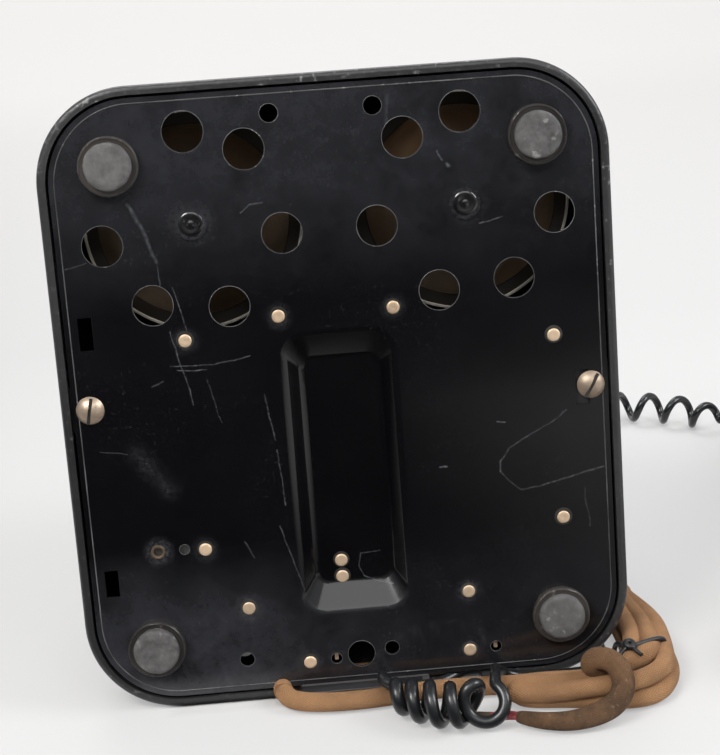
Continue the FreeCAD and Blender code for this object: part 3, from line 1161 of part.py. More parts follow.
def make_curly_cord():
    mouth = Vector(*CURLY_LEAD[0])
    grommet = Part.makeCylinder(GROMMET_RADIUS, GROMMET_LENGTH, mouth, Vector(1, 0, 0))
    save_on_floor(grommet, "curly_grommet")
    save_on_floor(cord_tube(CURLY_LEAD, CURLY_WIRE_RADIUS, "curly_lead"), "curly_lead")
    start = Vector(*COIL_START)
    along = Vector(*COIL_END) - start
    coil = Part.makeCylinder(COIL_OUTER_RADIUS, along.Length, start, along)
    axis = Vector(*TURN_AXIS)
    axis.normalize()
    turn_start = Vector(*TURN_CENTRE) - axis * (TURN_THICKNESS / 2)
    turn = Part.makeCylinder(TURN_RADIUS, TURN_THICKNESS, turn_start, axis)
    save_on_floor(coil.fuse(turn), "curly_coil")
    save_on_floor(cord_tube(CURLY_RUN, CURLY_WIRE_RADIUS, "curly_run"), "curly_run")
    save_on_floor(cord_tube(CURLY_STRETCH, COIL_OUTER_RADIUS, "curly_stretch"), "curly_stretch")
    end = gland_tip() + gland_direction() * TAIL_GAP
    tail = cord_tube(CURLY_TAIL + (tuple(end),), CURLY_WIRE_RADIUS, "curly_tail")
    save_on_floor(tail, "curly_tail")


def main():
    os.makedirs("parts", exist_ok=True)
    make_casing()
    make_lugs()
    make_base_plate()
    make_rivets()
    make_feet()
    make_casing_screws()
    make_gongs()
    make_ringer()
    make_condenser()
    make_induction_coil()
    make_terminals()
    make_cord_bay()
    make_dial()
    make_cradle()
    make_hook_switch()
    make_handset()
    make_line_cord()
    make_spade_tags()
    make_curly_cord()


main()
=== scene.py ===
"""Looks of a black desk telephone that lies on its rear wall, with its handset off the hook.

Sizes are in metres unless a docstring says millimetres. Upright places have x to the right, y to the rear and
z up from the rim's lower edge; upright() turns them to the frame of the CAD nodes, which lie on the floor.
"""
import json
import logging
import math
import random
from dataclasses import dataclass
from enum import Enum
from typing import Callable, Iterable, Sequence

import bmesh
import bpy
from mathutils import Matrix, Quaternion, Vector


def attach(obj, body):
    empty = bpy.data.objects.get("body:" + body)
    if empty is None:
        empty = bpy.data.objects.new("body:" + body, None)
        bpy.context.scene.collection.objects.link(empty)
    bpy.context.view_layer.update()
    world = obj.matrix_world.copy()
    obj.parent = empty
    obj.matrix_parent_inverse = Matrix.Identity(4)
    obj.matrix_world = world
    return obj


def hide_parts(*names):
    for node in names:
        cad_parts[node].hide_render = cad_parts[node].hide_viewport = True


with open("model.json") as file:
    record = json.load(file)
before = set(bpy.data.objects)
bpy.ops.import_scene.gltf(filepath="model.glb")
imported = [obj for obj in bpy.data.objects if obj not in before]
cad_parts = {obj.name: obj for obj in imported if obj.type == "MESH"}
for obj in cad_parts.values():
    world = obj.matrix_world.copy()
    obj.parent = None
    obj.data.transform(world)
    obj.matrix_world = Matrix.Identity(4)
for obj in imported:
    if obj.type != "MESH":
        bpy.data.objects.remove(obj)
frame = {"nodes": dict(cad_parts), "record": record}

LOG = logging.getLogger("telephone")
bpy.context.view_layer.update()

Pair = tuple[float, float]
Point = tuple[float, float, float]
Colour = tuple[float, float, float]
Profile = tuple[Pair, ...]
Route = tuple[Point, ...]
Wobble = Callable[[float, int], float]
Material = bpy.types.Material
Piece = bpy.types.Object
Node = bpy.types.Node
NodeTree = bpy.types.NodeTree
Socket = bpy.types.NodeSocket
Gathered = bmesh.types.BMesh
Materials = dict[str, bpy.types.Material]

REST_REACH = 0.04847175   # from the rim's rear edge to the origin, along the floor
LAID_TURN = math.radians(-98.0)
RIM_REAR = Vector((0.0, 0.09775, 0.0))
REST_GRIND = 0.00005
LAID = Matrix.Rotation(LAID_TURN, 4, "X")
TO_ROW = Matrix.Translation(Vector((0.0, -REST_REACH, -REST_GRIND)) - LAID @ RIM_REAR) @ LAID
OUTWARD = Vector((0.0, 0.0, -1.0))
PLATE_Z = 0.0008
FLOAT = "NodeSocketFloat"
VECTOR = "NodeSocketVector"


def on_floor(points: Iterable[Point]) -> list[Vector]:
    """Places in the row frame, of points with y counted from the rim's rear edge."""
    return [Vector((x, y - REST_REACH, z)) for x, y, z in points]


def upright(x: float, y: float, z: float) -> Vector:
    """Place of an upright point in the row frame."""
    return TO_ROW @ Vector((x, y, z))


def millimetres(profile: Iterable[Pair]) -> list[Pair]:
    """Turn a profile in millimetres into metres."""
    return [(radius / 1000, height / 1000) for radius, height in profile]


def clamped(share: float) -> float:
    """Keep a share between 0 and 1."""
    return min(max(share, 0.0), 1.0)


def eased(share: float) -> float:
    """Share from 0 to 1 that starts and ends softly."""
    share = clamped(share)
    return share * share * (3.0 - 2.0 * share)


def dimmed(colour: Colour, share: float) -> Colour:
    """A colour with its channels multiplied by a share."""
    return tuple(channel * share for channel in colour)


# ------------------------------------------------------------------ shader building
class Relief(Enum):
    """Kinds of fine relief that a finish can carry."""

    GRAIN = 0.0
    CRINKLE = 1.0


class Tree:
    """Small helper that adds and links the nodes of one tree."""

    def __init__(self, tree: NodeTree) -> None:
        """Keep the tree that the nodes go into."""
        self.tree = tree

    def add(self, kind: str, inputs: dict | None = None, **settings: object) -> Node:
        """Add a node.

        Args:
            kind: the node's type.
            inputs: values or source sockets for its inputs, by name or number.
            settings: the node's own properties.

        Returns:
            The new node.
        """
        node = self.tree.nodes.new(kind)
        for name, value in settings.items():
            setattr(node, name, value)
        for name, value in (inputs or {}).items():
            if isinstance(value, Socket):
                self.tree.links.new(value, node.inputs[name])
            else:
                node.inputs[name].default_value = value
        return node

    def math(self, operation: str, a: object, b: object = 0.0, clamp: bool = False) -> Socket:
        """Add a math node and return its result."""
        return self.add("ShaderNodeMath", {0: a, 1: b}, operation=operation, use_clamp=clamp).outputs[0]

    def times(self, a: object, b: object, clamp: bool = False) -> Socket:
        """Multiply two values and return the result."""
        return self.math("MULTIPLY", a, b, clamp)

    def plus(self, a: object, b: object, clamp: bool = False) -> Socket:
        """Add two values and return the result."""
        return self.math("ADD", a, b, clamp)

    def mix(self, factor: object, a: object, b: object) -> Socket:
        """Mix two colours.

        Args:
            factor: 0 gives the first colour and 1 the second.
            a: the first colour or its socket.
            b: the second colour or its socket.

        Returns:
            The mixed colour.
        """
        values = [value if isinstance(value, Socket) else (*value, 1.0) for value in (a, b)]
        return self.add("ShaderNodeMix", {0: factor, 6: values[0], 7: values[1]}, data_type="RGBA").outputs[2]

    def ramp(self, factor: Socket, low: float, high: float) -> Socket:
        """Stretch a value so that low becomes 0 and high becomes 1."""
        node = self.add("ShaderNodeMapRange", {"Value": factor, "From Min": low, "From Max": high})
        return node.outputs["Result"]

    def vector(self, operation: str, a: object, b: object = (0.0, 0.0, 0.0)) -> Socket:
        """Add a vector math node and return its vector."""
        return self.add("ShaderNodeVectorMath", {0: a, 1: b}, operation=operation).outputs[0]

    def axes(self, place: Socket) -> Sequence[Socket]:
        """Split a vector into its x, y and z."""
        return self.add("ShaderNodeSeparateXYZ", {0: place}).outputs

    def grouped(self, tree: NodeTree, **inputs: object) -> Node:
        """Add a node group with its inputs set by name."""
        return self.add("ShaderNodeGroup", inputs, node_tree=tree)

    def noise(self, place: Socket, scale: float, detail: float = 3.0, rough: float = 0.55) -> Socket:
        """Add a noise texture and return its value."""
        return self.add("ShaderNodeTexNoise", {"Vector": place, "Scale": scale, "Detail": detail,
                                               "Roughness": rough}).outputs[0]


def group(name: str, inputs: dict[str, float | None], outputs: Sequence[str],
          fill: Callable[[Tree, dict], Sequence[Socket]], kind: str = FLOAT) -> NodeTree:
    """Build a shader node group once.

    Args:
        name: the group's name.
        inputs: default values by socket name; None makes it a vector socket.
        outputs: names of the output sockets.
        fill: receives the tree and the input sockets, and returns the output sockets in order.
        kind: socket type of the outputs.

    Returns:
        The group's node tree.
    """
    found = bpy.data.node_groups.get(name)
    if found:
        return found
    tree = bpy.data.node_groups.new(name, "ShaderNodeTree")
    for label, value in inputs.items():
        socket = tree.interface.new_socket(label, in_out="INPUT",
                                           socket_type=VECTOR if value is None else FLOAT)
        if value is not None:
            socket.default_value = value
    for label in outputs:
        tree.interface.new_socket(label, in_out="OUTPUT", socket_type=kind)
    start = tree.nodes.new("NodeGroupInput").outputs
    end = tree.nodes.new("NodeGroupOutput").inputs
    for label, socket in zip(outputs, fill(Tree(tree), {label: start[label] for label in inputs})):
        tree.links.new(socket, end[label])
    return tree


def speckle_group() -> NodeTree:
    """Worn specks and dust: masks that change over the surface."""
    def fill(tree: Tree, ins: dict) -> Sequence[Socket]:
        """Lay fine noise inside broad patches.

        Args:
            tree: the tree that the nodes go into.
            ins: the group's input sockets by name.

        Returns:
            Its output sockets.
        """
        broad = tree.ramp(tree.noise(ins["Place"], 28.0, 2.0), 0.42, 0.66)
        fine = tree.add("ShaderNodeTexNoise", {"Vector": ins["Place"], "Scale": ins["Scale"], "Detail": 2.0})
        specks = tree.ramp(fine.outputs[0], 0.62, 0.72)
        worn = tree.times(tree.times(specks, broad), ins["Amount"], clamp=True)
        dust = tree.ramp(tree.noise(ins["Place"], 9.0, 5.0, 0.65), 0.45, 0.75)
        return worn, tree.times(dust, ins["Dust"], clamp=True)
    return group("worn_specks", {"Place": None, "Scale": 600.0, "Amount": 0.5, "Dust": 0.2}, ("Worn", "Dust"),
                 fill)


def relief_group() -> NodeTree:
    """Fine relief: a height that changes over the surface, plain grain or wrinkles."""
    def fill(tree: Tree, ins: dict) -> Sequence[Socket]:
        """Mix soft noise with cell wrinkles.

        Args:
            tree: the tree that the nodes go into.
            ins: the group's input sockets by name.

        Returns:
            Its output sockets.
        """
        soft = tree.add("ShaderNodeTexNoise", {"Vector": ins["Place"], "Scale": ins["Scale"], "Detail": 4.0})
        cells = tree.add("ShaderNodeTexVoronoi", {"Vector": ins["Place"], "Scale": ins["Scale"]},
                         feature="SMOOTH_F1")
        mixed = tree.add("ShaderNodeMix", {0: ins["Wrinkle"], 2: soft.outputs[0], 3: cells.outputs[0]},
                         data_type="FLOAT")
        return mixed.outputs[:1]
    return group("fine_relief", {"Place": None, "Scale": 900.0, "Wrinkle": 0.0}, ("Height",), fill)


def upright_group() -> NodeTree:
    """Object coordinates turned back to the upright telephone."""
    back = TO_ROW.inverted()

    def fill(tree: Tree, ins: dict) -> Sequence[Socket]:
        """Turn and move the place."""
        turned = tree.add("ShaderNodeMapping", {"Vector": ins["Place"], "Location": back.translation,
                                                "Rotation": (-LAID_TURN, 0.0, 0.0)}, vector_type="POINT")
        return turned.outputs[:1]
    return group("upright_place", {"Place": None}, ("Upright",), fill, VECTOR)


def scratch_group() -> NodeTree:
    """Mask of one straight mark between two places: 1 on its middle line, 0 at its width."""
    def fill(tree: Tree, ins: dict) -> Sequence[Socket]:
        """Measure the distance to the nearest place of the line.

        Args:
            tree: the tree that the nodes go into.
            ins: the group's input sockets by name.

        Returns:
            Its output sockets.
        """
        along = tree.vector("SUBTRACT", ins["End"], ins["Start"])
        gone = tree.vector("SUBTRACT", ins["Place"], ins["Start"])
        dots = [tree.add("ShaderNodeVectorMath", {0: a, 1: along}, operation="DOT_PRODUCT").outputs["Value"]
                for a in (gone, along)]
        share = tree.math("DIVIDE", dots[0], dots[1], clamp=True)
        near = tree.add("ShaderNodeVectorMath", {0: along, "Scale": share}, operation="SCALE").outputs[0]
        gap = tree.add("ShaderNodeVectorMath", {0: tree.vector("SUBTRACT", gone, near)}, operation="LENGTH")
        mask = tree.ramp(gap.outputs["Value"], ins["Width"], 0.0)
        return (tree.times(tree.math("POWER", mask, 1.7), ins["Strength"]),)
    return group("scratch_mask", {"Place": None, "Start": None, "End": None, "Width": 0.0005,
                                  "Strength": 1.0}, ("Mask",), fill)


@dataclass(frozen=True)
class Finish:
    """One surface finish, made from the Principled shader and the shared groups."""

    name: str
    colour: Colour
    rough: float
    metallic: float = 0.0
    coat: float = 0.0
    worn_colour: Colour = (0.3, 0.3, 0.3)
    worn: float = 0.0
    dust: float = 0.0
    dust_colour: Colour = (0.25, 0.24, 0.22)
    speck_scale: float = 600.0
    relief_scale: float = 900.0
    relief: float = 0.0
    kind: Relief = Relief.GRAIN
    rough_change: float = 0.1
    mottle: float = 0.82
    mottle_scale: float = 45.0
    coat_rough: float = 0.08
    dust_rough: float = 0.5
    mark_rough: float = 0.4

    def colour_of(self, tree: Tree, place: Socket) -> Socket:
        """Colour before wear and dust. A subclass may change it over the surface."""
        shade = tree.ramp(tree.noise(place, self.mottle_scale, 5.0, 0.6), 0.3, 0.7)
        return tree.mix(shade, self.colour, dimmed(self.colour, self.mottle))

    def height_of(self, tree: Tree, place: Socket) -> Socket:
        """Relief height of the surface."""
        return tree.grouped(relief_group(), Place=place, Scale=self.relief_scale,
                            Wrinkle=self.kind.value).outputs["Height"]

    def marks_of(self, tree: Tree, place: Socket) -> tuple[Socket, Colour] | None:
        """Further marks over the colour: their mask and their colour. Plain finishes have none."""
        return None

    def build(self) -> Material:
        """Make the whole material.

        Returns:
            The finished material.
        """
        material = bpy.data.materials.new(self.name)
        material.use_nodes = True
        tree = Tree(material.node_tree)
        sockets = material.node_tree.nodes["Principled BSDF"].inputs
        sockets["Metallic"].default_value = self.metallic
        sockets["Coat Weight"].default_value = self.coat
        sockets["Coat Roughness"].default_value = self.coat_rough
        place = tree.add("ShaderNodeTexCoord").outputs["Object"]
        specks = tree.grouped(speckle_group(), Place=place, Scale=self.speck_scale, Amount=self.worn,
                              Dust=self.dust)
        colour = tree.mix(specks.outputs["Worn"], self.colour_of(tree, place), self.worn_colour)
        colour = tree.mix(specks.outputs["Dust"], colour, self.dust_colour)
        rough = tree.times(tree.noise(place, 60.0, 4.0), 2.0 * self.rough_change)
        rough = tree.plus(rough, self.rough - self.rough_change)
        rough = tree.plus(rough, tree.times(specks.outputs["Dust"], self.dust_rough), clamp=True)
        marks = self.marks_of(tree, place)
        if marks:
            colour = tree.mix(marks[0], colour, marks[1])
            rough = tree.plus(rough, tree.times(marks[0], self.mark_rough), clamp=True)
        tree.tree.links.new(colour, sockets["Base Color"])
        tree.tree.links.new(rough, sockets["Roughness"])
        if self.relief > 0.0:
            bump = tree.add("ShaderNodeBump", {"Height": self.height_of(tree, place), "Strength": 1.0,
                                               "Distance": self.relief})
            tree.tree.links.new(bump.outputs[0], sockets["Normal"])
        return material


@dataclass(frozen=True)
class Scratch:
    """One mark on the base plate: a run of upright places in millimetres, its half width and strength."""

    run: Profile
    width: float = 0.35
    strength: float = 0.7


def smear(x: float, y: float, width: float, strength: float) -> Scratch:
    """Round smear about one upright place, in millimetres."""
    return Scratch(((x, y), (x + 0.1, y)), width, strength)


SCRATCHES: tuple[Scratch, ...] = (
    Scratch(((-59.8, -62.4), (-56.7, -56.2), (-54.4, -48.5), (-52.5, -44.5)), 0.9, 0.55),
    Scratch(((-52.5, -44.7), (-52.4, -37.7)), 0.45, 0.4),
    Scratch(((-48.8, -36.6), (-45.5, -23.3)), 0.35, 0.55),
    Scratch(((-26.4, -57.8), (-23.3, -60.0), (-19.6, -60.3)), 0.4, 0.6),
    Scratch(((-80.4, -44.4), (-74.2, -45.8)), 0.4, 0.4),
    Scratch(((20.2, -89.1), (19.2, -80.3)), 0.9, 0.32),
    Scratch(((34.0, -71.5), (35.4, -68.7)), 0.5, 0.7),
    Scratch(((36.8, -67.4), (37.1, -66.8)), 0.9, 0.8),
    Scratch(((45.7, -49.2), (52.5, -50.2)), 0.4, 0.5),
    Scratch(((-50.8, -23.1), (-47.6, -8.8), (-45.6, 0.1)), 0.4, 0.55),
    Scratch(((-41.0, -7.4), (-37.6, 6.2)), 0.35, 0.35),
    Scratch(((-51.8, -12.3), (-37.5, -12.1), (-27.2, -13.7)), 0.35, 0.6),
    Scratch(((-49.8, -10.9), (-40.7, -10.5)), 0.35, 0.7),
    Scratch(((-57.9, -6.6), (-54.1, -8.1)), 0.4, 0.5),
    Scratch(((-75.8, 12.5), (-67.6, 13.8)), 0.3, 0.5),
    Scratch(((-64.6, 14.4), (-55.5, 26.3)), 5.5, 0.12),
    Scratch(((-23.7, -1.2), (-21.8, 13.2)), 0.5, 0.4),
    Scratch(((-21.4, 16.4), (-20.1, 34.2)), 0.4, 0.5),
    Scratch(((-22.5, 40.5), (-16.4, 62.4)), 0.4, 0.4),
    Scratch(((-33.8, 45.1), (-31.4, 50.2)), 0.5, 0.4),
    Scratch(((81.0, 30.2), (70.1, 32.2), (59.8, 34.9), (54.1, 35.4), (50.5, 32.8), (47.5, 29.3),
             (47.7, 26.1), (51.1, 21.6), (57.5, 18.2), (64.0, 14.6), (69.5, 11.2)), 0.5, 0.42),
    Scratch(((47.5, 12.9), (50.0, 13.4)), 0.4, 0.9),
    Scratch(((28.8, 26.1), (31.0, 26.0)), 0.5, 0.9),
    Scratch(((74.0, 36.5), (75.1, 49.0)), 0.4, 0.35),
    Scratch(((8.4, 53.0), (2.1, 53.1), (1.5, 57.4), (2.8, 60.8), (6.5, 62.4), (11.8, 63.6)), 0.35, 0.5),
    *(smear(*dot) for dot in (
        (-41.5, -55.4, 9.0, 0.5), (41.5, -55.4, 8.4, 0.36), (-61.1, 45.9, 6.0, 0.6), (-17.6, -25.4, 5.4, 0.4),
        (17.6, -25.4, 5.2, 0.3), (-46.5, -20.1, 5.4, 0.4), (-34.4, 66.7, 6.5, 0.45), (-46.3, 46.3, 5.4, 0.4),
        (35.4, 67.3, 5.6, 0.4), (34.7, 86.8, 5.0, 0.35), (-16.5, 86.4, 5.4, 0.4))),
)


@dataclass(frozen=True)
class PlateFinish(Finish):
    """Black gloss enamel with a worn haze that also carries a painted reflection of the floor, smears and
    scratches that lie in the upright frame.
    """

    haze_and_painted_reflection: float = 0.55
    haze_and_reflection_colour: Colour = (0.046, 0.047, 0.055)
    scratch_colour: Colour = (0.21, 0.215, 0.235)
    trough_fade: Pair = (0.0018, 0.0012)
    front_fade: Pair = (-0.030, -0.075)
    reflection_rear_fade: Pair = (0.045, 0.090)
    reflection_left_fade: Pair = (0.020, -0.070)
    wander: float = 0.0016

    def upright(self, tree: Tree, place: Socket) -> Socket:
        """The place in the upright frame."""
        return tree.grouped(upright_group(), Place=place).outputs["Upright"]

    def colour_of(self, tree: Tree, place: Socket) -> Socket:
        """Deep black under a haze that the trough's floor was kept from; towards the rear edge, more so on
        the left, the haze is a painted reflection of the pale floor.

        Args:
            tree: the material's tree.
            place: Object coordinates.

        Returns:
            The colour over the surface.
        """
        x, y, z = tree.axes(self.upright(tree, place))
        flat = tree.ramp(z, *self.trough_fade)
        cloud = tree.ramp(tree.noise(place, 24.0, 9.0, 0.78), 0.38, 0.66)
        front = tree.times(tree.ramp(y, *self.front_fade), 0.75)
        # Painted reflection: greyer towards the rear edge and the left, as the pale floor would show in the
        # gloss.
        reflection_left_weight = tree.plus(tree.times(tree.ramp(x, *self.reflection_left_fade), 1.5), 0.4)
        painted_rear_reflection = tree.times(tree.ramp(y, *self.reflection_rear_fade), reflection_left_weight)
        ends = tree.math("MAXIMUM", front, painted_rear_reflection)
        amount = tree.times(tree.plus(ends, 0.05), tree.plus(cloud, 0.30))
        amount = tree.times(tree.times(amount, flat), self.haze_and_painted_reflection, clamp=True)
        return tree.mix(amount, self.colour, self.haze_and_reflection_colour)

    def marks_of(self, tree: Tree, place: Socket) -> tuple[Socket, Colour]:
        """Scratches along their own lines, broken up by fine noise.

        Args:
            tree: the material's tree.
            place: Object coordinates.

        Returns:
            The scratches' mask and their colour.
        """
        flat = tree.vector("MULTIPLY", self.upright(tree, place), (1.0, 1.0, 0.0))
        wander = tree.add("ShaderNodeTexNoise", {"Vector": flat, "Scale": 160.0, "Detail": 3.0})
        shift = tree.vector("SUBTRACT", wander.outputs["Color"], (0.5, 0.5, 0.5))
        flat = tree.vector("ADD", flat, tree.vector("MULTIPLY", shift, (self.wander, self.wander, 0.0)))
        total: Socket | None = None
        for scratch in SCRATCHES:
            ends = [(*spot, 0.0) for spot in millimetres(scratch.run)]
            for start, end in zip(ends, ends[1:]):
                mask = tree.grouped(scratch_group(), Place=flat, Start=start, End=end,
                                    Width=scratch.width / 1000, Strength=scratch.strength).outputs["Mask"]
                total = mask if total is None else tree.math("MAXIMUM", total, mask)
        broken = tree.ramp(tree.noise(flat, 700.0, 4.0, 0.7), 0.38, 0.62)
        faint = tree.ramp(tree.noise(flat, 75.0, 4.0, 0.7), 0.38, 0.60)
        broken = tree.times(broken, tree.plus(tree.times(faint, 0.75), 0.25))
        broken = tree.plus(tree.times(broken, 0.85), 0.15)
        return tree.times(total, broken, clamp=True), self.scratch_colour


@dataclass(frozen=True)
class WoundFinish(Finish):
    """Lacquered wire wound in close turns along one axis of the upright telephone."""

    pitch: float = 0.0004

    def turns(self, tree: Tree, place: Socket) -> Socket:
        """Height of the turns."""
        along = tree.axes(tree.grouped(upright_group(), Place=place).outputs[0])[1]
        return tree.math("SINE", tree.times(along, math.tau / self.pitch))

    def colour_of(self, tree: Tree, place: Socket) -> Socket:
        """Wire colour with painted shade in the gaps between the turns."""
        return tree.mix(tree.ramp(self.turns(tree, place), -0.9, 0.2), dimmed(self.colour, 0.3), self.colour)

    def height_of(self, tree: Tree, place: Socket) -> Socket:
        """Relief of the turns."""
        return self.turns(tree, place)


@dataclass(frozen=True)
class BraidFinish(Finish):
    """Woven cotton braid that follows the cord's own UV map (u along, v round)."""

    pitch: float = 0.0010
    strands: float = 22.0
    # The gaps between the threads get painted shade.
    gap_shade_share: float = 0.56
    faded_share: float = 0.72
    # The cord's end is darkened as soiling and as painted shadow.
    soiled_and_shaded_from: float = 0.622
    soiled_and_shaded_over: float = 0.04
    soiled_and_shaded_share: float = 0.13

    def weave(self, tree: Tree) -> Socket:
        """Height of the braid: crossing slanted threads.

        Args:
            tree: the material's tree.

        Returns:
            The height.
        """
        flat = tree.add("ShaderNodeUVMap").outputs[0]
        uv = tree.axes(flat)
        drift = tree.add("ShaderNodeTexNoise", {"Vector": flat, "Scale": 260.0, "Detail": 2.0})
        along = tree.plus(tree.times(uv[0], 1.0 / self.pitch), tree.times(drift.outputs[0], 1.1))
        round_ = tree.times(uv[1], self.strands)
        up = tree.math("SINE", tree.times(tree.plus(along, round_), math.tau))
        down = tree.math("SINE", tree.times(tree.math("SUBTRACT", along, round_), math.tau))
        return tree.math("MAXIMUM", up, down)

    def colour_of(self, tree: Tree, place: Socket) -> Socket:
        """Thread colour with painted shade in the gaps, faded stretches, and an end that is soiled and
        darkened further as painted shadow.

        Args:
            tree: the material's tree.
            place: Object coordinates.

        Returns:
            The colour over the surface.
        """
        fuzz = tree.times(tree.noise(place, 1500.0, 3.0, 0.6), 2.2)
        weave = tree.ramp(tree.plus(self.weave(tree), fuzz), 0.1, 2.0)
        faded = tree.mix(tree.ramp(tree.noise(place, 70.0, 4.0), 0.35, 0.7), self.colour,
                         dimmed(self.colour, self.faded_share))
        cloth = tree.mix(weave, dimmed(self.colour, self.gap_shade_share), faded)
        along = tree.axes(tree.add("ShaderNodeUVMap").outputs[0])[0]
        patches = tree.ramp(tree.noise(place, 160.0, 4.0, 0.65), 0.3, 0.62)
        soiled_and_shaded = tree.ramp(along, self.soiled_and_shaded_from, self.soiled_and_shaded_from + self.soiled_and_shaded_over)
        soiled_and_shaded = tree.times(soiled_and_shaded, tree.plus(tree.times(patches, 0.3), 0.68))
        return tree.mix(soiled_and_shaded, cloth, dimmed(self.colour, self.soiled_and_shaded_share))

    def height_of(self, tree: Tree, place: Socket) -> Socket:
        """Relief of the braid."""
        return self.weave(tree)


# ------------------------------------------------------------------ shapes
def finished(piece: Piece, slot: str, *nodes: str, body: str = "telephone") -> None:
    """Set a piece on its body.

    Args:
        piece: the object, placed in the row frame.
        slot: not used.
        nodes: the CAD nodes that it stands for.
        body: the CAD body that it moves with.
    """
    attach(piece, body)
    if nodes:
        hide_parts(*nodes)
    LOG.info("piece %s on %s", piece.name, body)


def linked(name: str, data: bpy.types.ID) -> Piece:
    """Make an object at the origin and put it into the scene.

    Args:
        name: the object's name.
        data: what the object shows.

    Returns:
        The object.
    """
    piece = bpy.data.objects.new(name, data)
    bpy.context.scene.collection.objects.link(piece)
    return piece


def mesh_object(name: str, verts: Sequence[Vector], faces: Sequence[Sequence[int]],
                material: Material) -> Piece:
    """Make a smooth mesh object at the origin.

    Args:
        name: the object's name.
        verts: its corners.
        faces: the corners' numbers, face by face.
        material: its material.

    Returns:
        The object.
    """
    mesh = bpy.data.meshes.new(name)
    mesh.from_pydata([tuple(vertex) for vertex in verts], [], faces)
    mesh.materials.append(material)
    mesh.shade_smooth()
    return linked(name, mesh)


def evaluated_mesh(piece: Piece) -> bpy.types.Mesh:
    """Plain mesh of an object as its curve, text or modifier makes it."""
    bpy.context.view_layer.update()
    return bpy.data.meshes.new_from_object(piece.evaluated_get(bpy.context.evaluated_depsgraph_get()))


def take_in(work: Gathered, piece: Piece) -> None:
    """Move a piece's mesh into gathered geometry."""
    work.from_mesh(piece.data)
    bpy.data.objects.remove(piece)


def gathered(name: str, work: Gathered, *materials: Material, smooth: bool = True) -> Piece:
    """Make one piece of gathered geometry, with its faces turned outward.

    Args:
        name: the piece's name.
        work: the geometry. It is used up.
        materials: the piece's materials.
        smooth: whether the faces are shaded smooth.

    Returns:
        The piece.
    """
    bmesh.ops.recalc_face_normals(work, faces=work.faces)
    mesh = bpy.data.meshes.new(name)
    work.to_mesh(mesh)
    work.free()
    for material in materials:
        mesh.materials.append(material)
    if smooth:
        mesh.shade_smooth()
    return linked(name, mesh)


class Shape:
    """Vertices and faces gathered in metres before they become one mesh."""

    def __init__(self) -> None:
        """Start empty."""
        self.verts: list[Vector] = []
        self.faces: list[list[int]] = []

    def lathe(self, profile: Sequence[Pair], place: Vector, axis: Vector, sides: int,
              wobble: Wobble | None = None, ring: bool = False) -> None:
        """Turn a profile round an axis.

        Args:
            profile: (radius, height) pairs from one pole to the other; poles have radius 0.
            place: the axis' foot, where height is 0.
            axis: the axis' direction.
            sides: faces round the axis.
            wobble: change of the radius by angle and by profile index.
            ring: the profile is a loop that doesn't reach the axis.
        """
        axis = axis.normalized()
        side = axis.orthogonal().normalized()
        across = axis.cross(side)
        rings: list[list[int]] = []
        for index, (radius, height) in enumerate(profile):
            centre = place + axis * height
            if radius < 1e-7:
                rings.append([len(self.verts)])
                self.verts.append(centre)
                continue
            loop = []
            for step in range(sides):
                angle = math.tau * step / sides
                reach = radius + (wobble(angle, index) if wobble else 0.0)
                loop.append(len(self.verts))
                self.verts.append(centre + (side * math.cos(angle) + across * math.sin(angle)) * reach)
            rings.append(loop)
        for low, high in zip(rings, rings[1:] + rings[:1] if ring else rings[1:]):
            for step in range(sides):
                nxt = (step + 1) % sides
                if len(low) == 1:
                    self.faces.append([low[0], high[nxt], high[step]])
                elif len(high) == 1:
                    self.faces.append([low[step], low[nxt], high[0]])
                else:
                    self.faces.append([low[step], low[nxt], high[nxt], high[step]])

    def box(self, low: Vector, high: Vector, turn: Matrix | None = None) -> None:
        """Add a box.

        Args:
            low: its lowest corner.
            high: its highest corner.
            turn: turns and moves the box.
        """
        start = len(self.verts)
        for x in (low.x, high.x):
            for y in (low.y, high.y):
                for z in (low.z, high.z):
                    corner = Vector((x, y, z))
                    self.verts.append(turn @ corner if turn else corner)
        for face in ((0, 1, 3, 2), (4, 6, 7, 5), (0, 4, 5, 1), (2, 3, 7, 6), (0, 2, 6, 4), (1, 5, 7, 3)):
            self.faces.append([start + corner for corner in face])

    def to_object(self, name: str, material: Material, bevel: float = 0.0) -> Piece:
        """Make the mesh with its faces turned outward, and its hard edges kept.

        Args:
            name: the object's name.
            material: its material.
            bevel: width of the bevel on hard edges; 0 leaves them as they are.

        Returns:
            The object.
        """
        piece = mesh_object(name, self.verts, self.faces, material)
        work = bmesh.new()
        work.from_mesh(piece.data)
        bmesh.ops.recalc_face_normals(work, faces=work.faces)
        if bevel > 0.0:
            sharp = [edge for edge in work.edges if edge.is_manifold and edge.calc_face_angle() > 0.6]
            bmesh.ops.bevel(work, geom=sharp, offset=bevel, segments=2, affect="EDGES", clamp_overlap=True)
        for edge in work.edges:
            edge.smooth = not edge.is_manifold or edge.calc_face_angle() < 0.7
        work.to_mesh(piece.data)
        work.free()
        return piece


def route_curve(name: str, points: Sequence[Vector], bevel: float = 0.0, steps: int = 10) -> Piece:
    """Make one smooth NURBS spline with the route's points as control points.

    Args:
        name: the curve's name.
        points: the control points.
        bevel: radius of the wire; 0 leaves a bare line.
        steps: steps from one control point to the next.

    Returns:
        The curve object.
    """
    data = bpy.data.curves.new(name, "CURVE")
    data.dimensions = "3D"
    data.resolution_u = steps
    data.render_resolution_u = steps
    spline = data.splines.new("NURBS")
    spline.points.add(len(points) - 1)
    for place, point in zip(spline.points, points):
        place.co = (*point, 1.0)
    spline.order_u = 3
    spline.use_endpoint_u = True
    data.bevel_depth = bevel
    data.bevel_resolution = 3
    data.use_fill_caps = True
    return linked(name, data)


